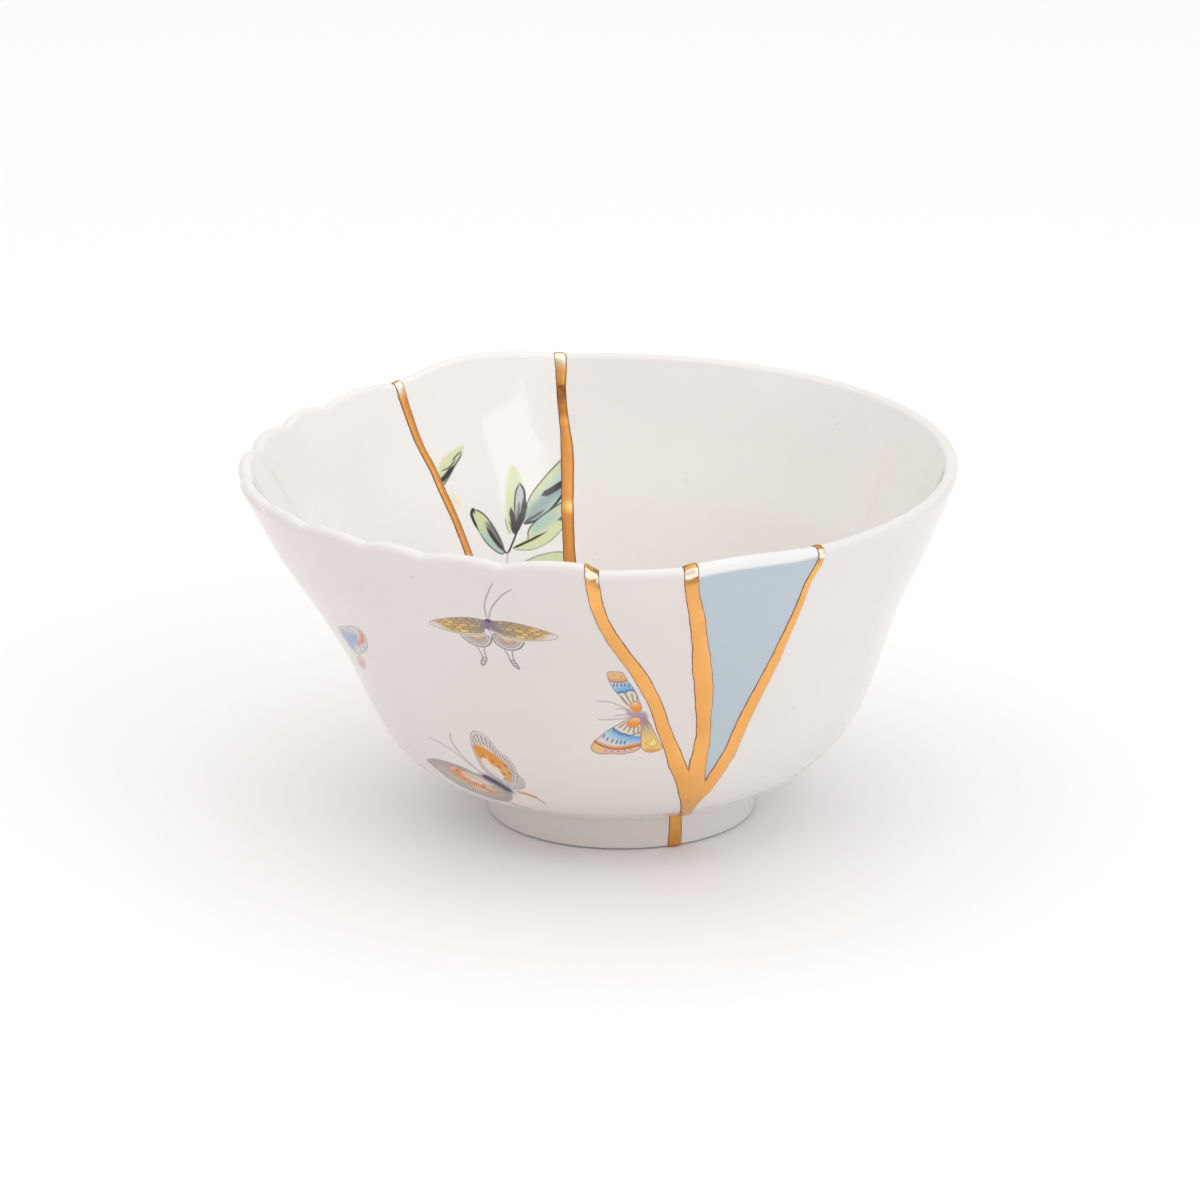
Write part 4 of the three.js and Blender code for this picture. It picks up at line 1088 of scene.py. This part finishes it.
def build_shard(shard):
    """A shard of porcelain: the bowl's surface over its rows and columns, closed by its broken
    sides and its tips, with its painting on its points."""
    t, u = fine(rows(*TIPS[shard])), fine(shard_columns(shard))
    left, right = shard_edges(shard, t)
    bearing = lerp(left[:, None], right[:, None], u)
    t = np.broadcast_to(t[:, None], bearing.shape)
    painted, tried, paint = painted_cells(shard, t, bearing)
    faces, corner = cells(painted)
    faces += closing(corner)
    used = np.unique(np.concatenate([f.ravel() for f in faces]))
    faces = [np.searchsorted(used, f) for f in faces]
    t, bearing = t.ravel()[used], bearing.ravel()[used]
    colours = np.zeros((len(used), 4))
    if len(tried):
        place = np.clip(np.searchsorted(tried, used), 0, len(tried) - 1)
        hit = tried[place] == used
        colours[hit] = paint[place[hit]]
    crest, swell = rim(shard, bearing)
    below = lip_distance(t, crest, swell)
    if shard == "blue":
        start, end = RIM[shard][0][0], RIM[shard][-1][0]
        below = below + BLUE_CLIMB * (bearing - start) / (end - start)
    return build("porcelain_" + shard, skin(t, bearing, crest, swell), faces,
                 skin_normal(t, bearing, crest, swell, shard), colours, below_lip=below)


def distance_to_lines(points, starts, ends):
    """Shortest distance from each point to any of some straight lines."""
    best = np.full(len(points), np.inf)
    for a, b in zip(np.array_split(starts, 60), np.array_split(ends, 60)):
        along = b - a
        s = ((points[:, None] - a) * along).sum(-1) / np.maximum((along**2).sum(-1), 1e-9)
        near = a + np.clip(s, 0.0, 1.0)[..., None] * along
        best = np.minimum(best, np.linalg.norm(points[:, None] - near, axis=-1).min(1))
    return best


def porcelain_edges():
    """The lines in which the gold meets the shards, as the two ends of each short piece."""
    starts, ends = [], []
    for shard in SHARDS:
        t = rows(*TIPS[shard])
        for bearing in gap(shard, t):
            line = skin(t, bearing, *rim(shard, bearing))
            starts.append(line[:-1])
            ends.append(line[1:])
    return np.concatenate(starts), np.concatenate(ends)


# The shard to the left and the shard to the right of each seam.
SEAM_SIDES = {seam: (next(s for s, (_, right) in SHARDS.items() if right == seam),
                     next(s for s, (left, _) in SHARDS.items() if left == seam)) for seam in SEAMS}
# Browner stretches of the gold: seam, face, lowest and highest level, strength.
WORN = [
    ("A", "inner", 0.0, 90.0, 0.66), ("B", "inner", 0.0, 43.0, 0.85), ("B", "inner", 46.0, 60.0, 0.72),
    ("B", "inner", 62.0, 68.0, 1.0), ("B", "inner", 69.0, 90.0, 0.68),
]
WORN += [(seam, "outer", -1.0, 7.0, 0.6) for seam in "CDE"]
WORN_FADE = 1.5
CAP = (2.995, 4.0, 0.03)     # where the gold goes over the lip, with its margin
# Where a painted highlight lies on the gold over the lip: on the lip's outer side for the front seams and
# its inner side for the back ones, with a margin.
FRONT_PAINTED_GLINT = (3.04, 3.34, 0.06)
BACK_PAINTED_GLINT = (3.7, 3.98, 0.06)
GOLD_COLUMNS = 13
GOLD_SPLIT = 2               # rows of gold to a row of porcelain
HUB_ROW = 0.004              # the strips end this near the hub


def build_gold(seam, starts, ends):
    """A strip of gold along a seam, round the whole section of the bowl. It lies on the
    porcelain with a domed height that rises with the distance from the nearest porcelain
    edge, folds in under its edges, and goes through the wall between them."""
    t = rows(HUB_ROW, 6 - HUB_ROW, GOLD_SPLIT)
    across = 0.5 - 0.5 * np.cos(np.linspace(0, np.pi, GOLD_COLUMNS))
    left_shard, right_shard = SEAM_SIDES[seam]
    left, right = gap(left_shard, t)[1], gap(right_shard, t)[0]
    right = right + 360 * np.round((left - right) / 360)
    bearing = lerp(left[:, None], right[:, None], across)
    ease = smoothstep(across, 0, 1)
    rims = [rim(shard, unwrap(bearing, shard)) for shard in (left_shard, right_shard)]
    crest, swell = (lerp(a, b, ease) for a, b in zip(*rims))
    t = np.broadcast_to(t[:, None], bearing.shape)
    base = skin(t, bearing, crest, swell)
    normal = skin_normal(t, bearing, crest, swell)
    away = distance_to_lines(base.reshape(-1, 3), starts, ends).reshape(bearing.shape)
    rise = 1 - (1 - np.clip(away / GOLD_EDGE, 0.0, 1.0)) ** DOME_POWER
    points = base + normal * (rise * (GOLD_HEIGHT + GOLD_SINK) - GOLD_SINK)[..., None]
    points[..., 2] = np.maximum(points[..., 2], 0.0)

    inward = unit(base[:, -1] - base[:, 0])
    width = np.linalg.norm(base[:, -1] - base[:, 0], axis=-1)
    near_hub = smoothstep(t[:, 0], 0, FOLD_FADE) * smoothstep(6 - t[:, 0], 0, FOLD_FADE)
    fold = np.minimum(GOLD_FOLD * near_hub, width / 4)[:, None]
    first = base[:, 0] + inward * fold - normal[:, 0] * fold
    last = base[:, -1] - inward * fold - normal[:, -1] * fold
    points = np.concatenate([first[:, None], points, last[:, None]], axis=1)
    away = np.pad(away, ((0, 0), (1, 1)))
    node = np.arange(points.shape[0] * points.shape[1]).reshape(points.shape[:2])
    whole = np.ones((node.shape[0] - 1, node.shape[1] - 1), bool)
    along = np.broadcast_to(t[:, :1], away.shape)
    cap = between(along, *CAP)
    # Where the painted highlight goes on this seam's gold.
    shine = between(along, *(FRONT_PAINTED_GLINT if seam in "CDE" else BACK_PAINTED_GLINT))
    worn = np.zeros(away.shape)
    lev = level(t, crest, swell)[:, :1]
    for owner, face, low, high, strength in WORN:
        if owner == seam:
            here = (along > 3.5) == (face == "inner")
            worn = np.maximum(worn, here * strength * between(lev, low, high, WORN_FADE))
    return build("gold_seam_" + seam, points.reshape(-1, 3), [quads(node, whole)] + closing(node),
                 away=away.ravel(), worn=worn.ravel(), cap=cap.ravel(), shine=shine.ravel())


pieces = {shard: build_shard(shard) for shard in SHARDS}
border = porcelain_edges()
golds = {seam: build_gold(seam, *border) for seam in SEAMS}


LIP_REACH = (0.3, 1.1)       # the lip's colour fades out between these, in millimetres below it
PINHOLE = (0.36, 0.31, 0.27)
GOLD = (0.98, 0.50, 0.155)
BROWN_GOLD = (0.52, 0.21, 0.05)
BRIGHT_GOLD = (1.0, 0.72, 0.36)
DARK_STAIN = (0.15, 0.06, 0.03)
# Over the lip the gold gets a painted dark reflection in spots and a painted pale highlight.
CAP_PAINTED_DARK_REFLECTION = (0.36, 0.17, 0.03)
PAINTED_GLINT_COLOUR = (1.0, 0.93, 0.74)
LACQUER = (0.20, 0.075, 0.075)
MIX_INPUTS, MIX_OUTPUT = (0, 6, 7), 2    # the mix node's share and its sockets for colours


class Nodes:
    """A material's node tree, with short ways to add a node and to join sockets."""

    def __init__(self, name):
        self.material = bpy.data.materials.new(name)
        self.material.use_nodes = True
        self.tree = self.material.node_tree
        self.shader = self.tree.nodes["Principled BSDF"]
        self.place = self.add("ShaderNodeTexCoord").outputs["Object"]

    def add(self, kind, inputs=None, **settings):
        node = self.tree.nodes.new(kind)
        for key, value in settings.items():
            setattr(node, key, value)
        for key, value in (inputs or {}).items():
            self.put(node.inputs[key], value)
        return node

    def put(self, socket, value):
        if isinstance(value, bpy.types.NodeSocket):
            self.tree.links.new(value, socket)
        else:
            socket.default_value = value

    def noise(self, scale, detail=2.0):
        """Clouds of a size of one metre divided by the scale."""
        settings = {"Vector": self.place, "Scale": scale, "Detail": detail}
        return self.add("ShaderNodeTexNoise", settings).outputs["Fac"]

    def spread(self, value, low, high, to_low=0.0, to_high=1.0):
        """The value, stretched from one range to another and held at its ends."""
        return self.add("ShaderNodeMapRange", {"Value": value, "From Min": low, "From Max": high,
                                               "To Min": to_low, "To Max": to_high}).outputs["Result"]

    def mix(self, share, a, b, way="MIX"):
        """Two colours blended by a share."""
        a, b = ((*c, 1.0) if isinstance(c, (tuple, np.ndarray)) else c for c in (a, b))
        node = self.add("ShaderNodeMix", data_type="RGBA", blend_type=way)
        for socket, value in zip(MIX_INPUTS, (share, a, b)):
            self.put(node.inputs[socket], value)
        return node.outputs[MIX_OUTPUT]

    def math(self, operation, a, b):
        return self.add("ShaderNodeMath", {0: a, 1: b}, operation=operation).outputs[0]

    def plus(self, a, b):
        return self.math("ADD", a, b)

    def times(self, a, b):
        return self.math("MULTIPLY", a, b)

    def larger(self, a, b):
        return self.math("MAXIMUM", a, b)

    def waves(self, *layers):
        """An uneven surface from noises, each given as its scale, detail and height in metres."""
        height = 0.0
        for scale, detail, depth in layers:
            height = self.plus(height, self.times(self.noise(scale, detail), depth))
        bump = self.add("ShaderNodeBump", {"Height": height, "Distance": 1.0, "Strength": 1.0})
        return bump.outputs["Normal"]

    def own(self, name):
        """An attribute of the piece's own mesh."""
        return self.add("ShaderNodeAttribute", attribute_name=name)

    def finish(self, **inputs):
        """The material, with values or sockets joined to its shader."""
        for key, value in inputs.items():
            self.put(self.shader.inputs[key.replace("_", " ")], value)
        return self.material


def glaze(name, outside, inside, lip=None):
    """Glossy porcelain: one tone outside and one inside, which on a white glaze stand for
    painted shade outside and painted light inside, with faint clouds, a few pinholes, the
    painting on top, and a surface that isn't quite even. A lip colour reaches a little
    way below the lip on the outer face."""
    n = Nodes(name)
    depth = n.own("below_lip").outputs["Fac"]
    # Inner and outer tones; a darker outer tone on a white glaze is painted shade.
    tone = n.mix(n.spread(depth, -3.0, -0.5), inside, outside)
    if lip is not None:
        uneven = n.plus(depth, n.spread(n.noise(60.0), 0.3, 0.7, -0.25, 0.25))
        tone = n.mix(n.spread(uneven, *LIP_REACH), lip, tone)
    clouds = n.spread(n.noise(38.0, 3.0), 0.3, 0.7, 0.975, 1.01)
    grey = n.add("ShaderNodeCombineColor", {"Red": clouds, "Green": clouds, "Blue": clouds})
    tone = n.mix(1.0, tone, grey.outputs[0], "MULTIPLY")
    cell = n.add("ShaderNodeTexVoronoi", {"Vector": n.place, "Scale": 190.0}).outputs["Distance"]
    rare = n.spread(n.noise(95.0, 0.0), 0.64, 0.70)
    pinhole = n.times(n.spread(cell, 0.035, 0.06, 1.0, 0.0), rare)
    tone = n.mix(n.times(pinhole, 0.35), tone, PINHOLE)
    paint = n.own("paint")
    cover = paint.outputs["Alpha"]
    tone = n.mix(cover, tone, (0.0, 0.0, 0.0))
    tone = n.mix(1.0, tone, paint.outputs["Color"], "ADD")
    rough = n.plus(n.spread(n.noise(120.0, 3.0), 0.3, 0.7, 0.05, 0.09), n.times(cover, 0.06))
    return n.finish(Base_Color=tone, Roughness=rough, IOR=1.52,
                    Normal=n.waves((26.0, 1.0, 0.0009), (420.0, 2.0, 0.000012)))


def gold_lustre():
    """Burnished gold over lacquer: bright in the middle, duller and browner in patches and
    where it was worn, with a thin line of dark lacquer along its edges. Over the lip it has
    painted dark reflections in spots, and a painted pale highlight."""
    n = Nodes("gold_lustre")
    away, worn, cap, shine = (n.own(key).outputs["Fac"] for key in ("away", "worn", "cap", "shine"))
    patches = n.times(n.spread(n.noise(48.0, 2.0), 0.45, 0.75), 0.3)
    tone = n.mix(n.larger(patches, worn), GOLD, BROWN_GOLD)
    tone = n.mix(n.spread(n.noise(700.0, 2.0), 0.5, 0.8, 0.0, 0.12), tone, BRIGHT_GOLD)
    stain = n.times(n.spread(worn, 0.88, 1.0), n.spread(n.noise(260.0, 1.0), 0.42, 0.56))
    tone = n.mix(n.times(stain, 0.75), tone, DARK_STAIN)
    # Painted dark reflections in spots over the lip, then a painted pale highlight there.
    tone = n.mix(n.times(cap, n.spread(n.noise(330.0, 1.0), 0.42, 0.56, 0.35, 0.85)), tone, CAP_PAINTED_DARK_REFLECTION)
    painted_glint = n.times(shine, n.spread(n.noise(420.0, 1.0), 0.36, 0.48))
    tone = n.mix(n.times(painted_glint, 0.9), tone, PAINTED_GLINT_COLOUR)
    uneven = n.plus(away, n.spread(n.noise(500.0), 0.3, 0.7, -0.05, 0.05))
    edge = n.spread(uneven, 0.12, 0.27, 1.0, 0.0)
    tone = n.mix(edge, tone, LACQUER)
    rough = n.plus(n.spread(n.noise(160.0, 2.0), 0.3, 0.75, 0.18, 0.3),
                   n.times(n.larger(edge, worn), 0.24))
    rough = n.plus(rough, n.times(cap, -0.14))
    return n.finish(Base_Color=tone, Roughness=rough, Metallic=n.plus(1.0, n.times(edge, -0.55)),
                    Normal=n.waves((70.0, 1.0, 0.0005), (600.0, 2.0, 0.000015)))


INSIDE_WHITE = (0.88, 0.866, 0.84)
LIP_WHITE = (0.87, 0.86, 0.85)
# White glazes: the outer tones are darker than the inner ones as painted shade, and the plain shard's glaze
# is lighter outside and darker inside than the warm one as painted light and shade from the right.
warm_white = glaze("warm_white_glaze", (0.765, 0.705, 0.68), INSIDE_WHITE)
plain_white = glaze("plain_white_glaze", (0.795, 0.765, 0.75), (0.845, 0.815, 0.79))
pale_blue = glaze("pale_blue_glaze", (0.48, 0.557, 0.622), INSIDE_WHITE, LIP_WHITE)
FINISHES = {"plain": plain_white, "blue": pale_blue}
lustre = gold_lustre()
for shard, piece in pieces.items():
    piece.data.materials.append(FINISHES.get(shard, warm_white))
    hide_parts("shard_" + shard)
for piece in golds.values():
    piece.data.materials.append(lustre)
    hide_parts("gold_seams")


def plane(name, half, height):
    """A level square of a half width, in metres."""
    mesh = bpy.data.meshes.new(name)
    mesh.from_pydata([(-half, -half, height), (half, -half, height), (half, half, height),
                      (-half, half, height)], [], [(0, 1, 2, 3)])
    piece = bpy.data.objects.new(name, mesh)
    bpy.context.scene.collection.objects.link(piece)
    return piece


FLOOR_HALF, FLOOR_DROP = 6.0, 0.0002     # metres
FLOOR_WHITE = (0.96, 0.96, 0.96, 1.0)
floor = plane("pale_floor", FLOOR_HALF, -FLOOR_DROP)
floor.data.materials.append(Nodes("pale_floor").finish(Base_Color=FLOOR_WHITE, Roughness=0.9))


def aimed(thing, place, target):
    """Turns a light or camera at place towards target, both in millimetres about the foot."""
    spot, aim = (Vector([a + b for a, b in zip(p, (*FOOT_CENTRE, 0.0))]) * MM for p in (place, target))
    thing.location = spot
    thing.rotation_euler = (aim - spot).to_track_quat("-Z", "Y").to_euler()
    bpy.context.scene.collection.objects.link(thing)
    return thing


TARGET = (-4.3, 0.0, 43.95)
ELEVATION, DISTANCE = math.radians(18.6), 1500.0
SENSOR_WIDTH, FOCAL_LENGTH = 36.0, 221.0
FARTHEST = 50.0              # metres
STUDIO_LIGHT = (1.0, 0.99, 0.98, 1.0)
STUDIO_STRENGTH = 0.84
camera = bpy.data.cameras.new("camera")
camera.sensor_width = SENSOR_WIDTH
camera.lens = FOCAL_LENGTH
camera.clip_end = FARTHEST
eye = (TARGET[0], -DISTANCE * math.cos(ELEVATION), TARGET[2] + DISTANCE * math.sin(ELEVATION))
bpy.context.scene.camera = aimed(bpy.data.objects.new("camera", camera), eye, TARGET)


def softbox(name, direction, distance, size, power):
    """A rectangular light at a distance from the target, of a size in metres and power in watts."""
    light = bpy.data.lights.new(name, "AREA")
    light.shape, light.size, light.size_y = "RECTANGLE", *size
    light.energy = power
    spot = [a + b * distance for a, b in zip(TARGET, direction)]
    return aimed(bpy.data.objects.new(name, light), spot, TARGET)


softbox("key_softbox", (0.460, -0.600, 0.654), 1300.0, (0.40, 0.27), 0.67)
softbox("side_softbox", (0.9, -0.75, 0.55), 1500.0, (2.2, 2.2), 3.8)
softbox("top_softbox", (-0.1, -0.05, 1.0), 1500.0, (2.0, 2.0), 7.0)
world = bpy.data.worlds.new("studio")
world.use_nodes = True
background = world.node_tree.nodes["Background"]
background.inputs["Color"].default_value = STUDIO_LIGHT
background.inputs["Strength"].default_value = STUDIO_STRENGTH
bpy.context.scene.world = world
bpy.context.scene.view_settings.view_transform = "Standard"
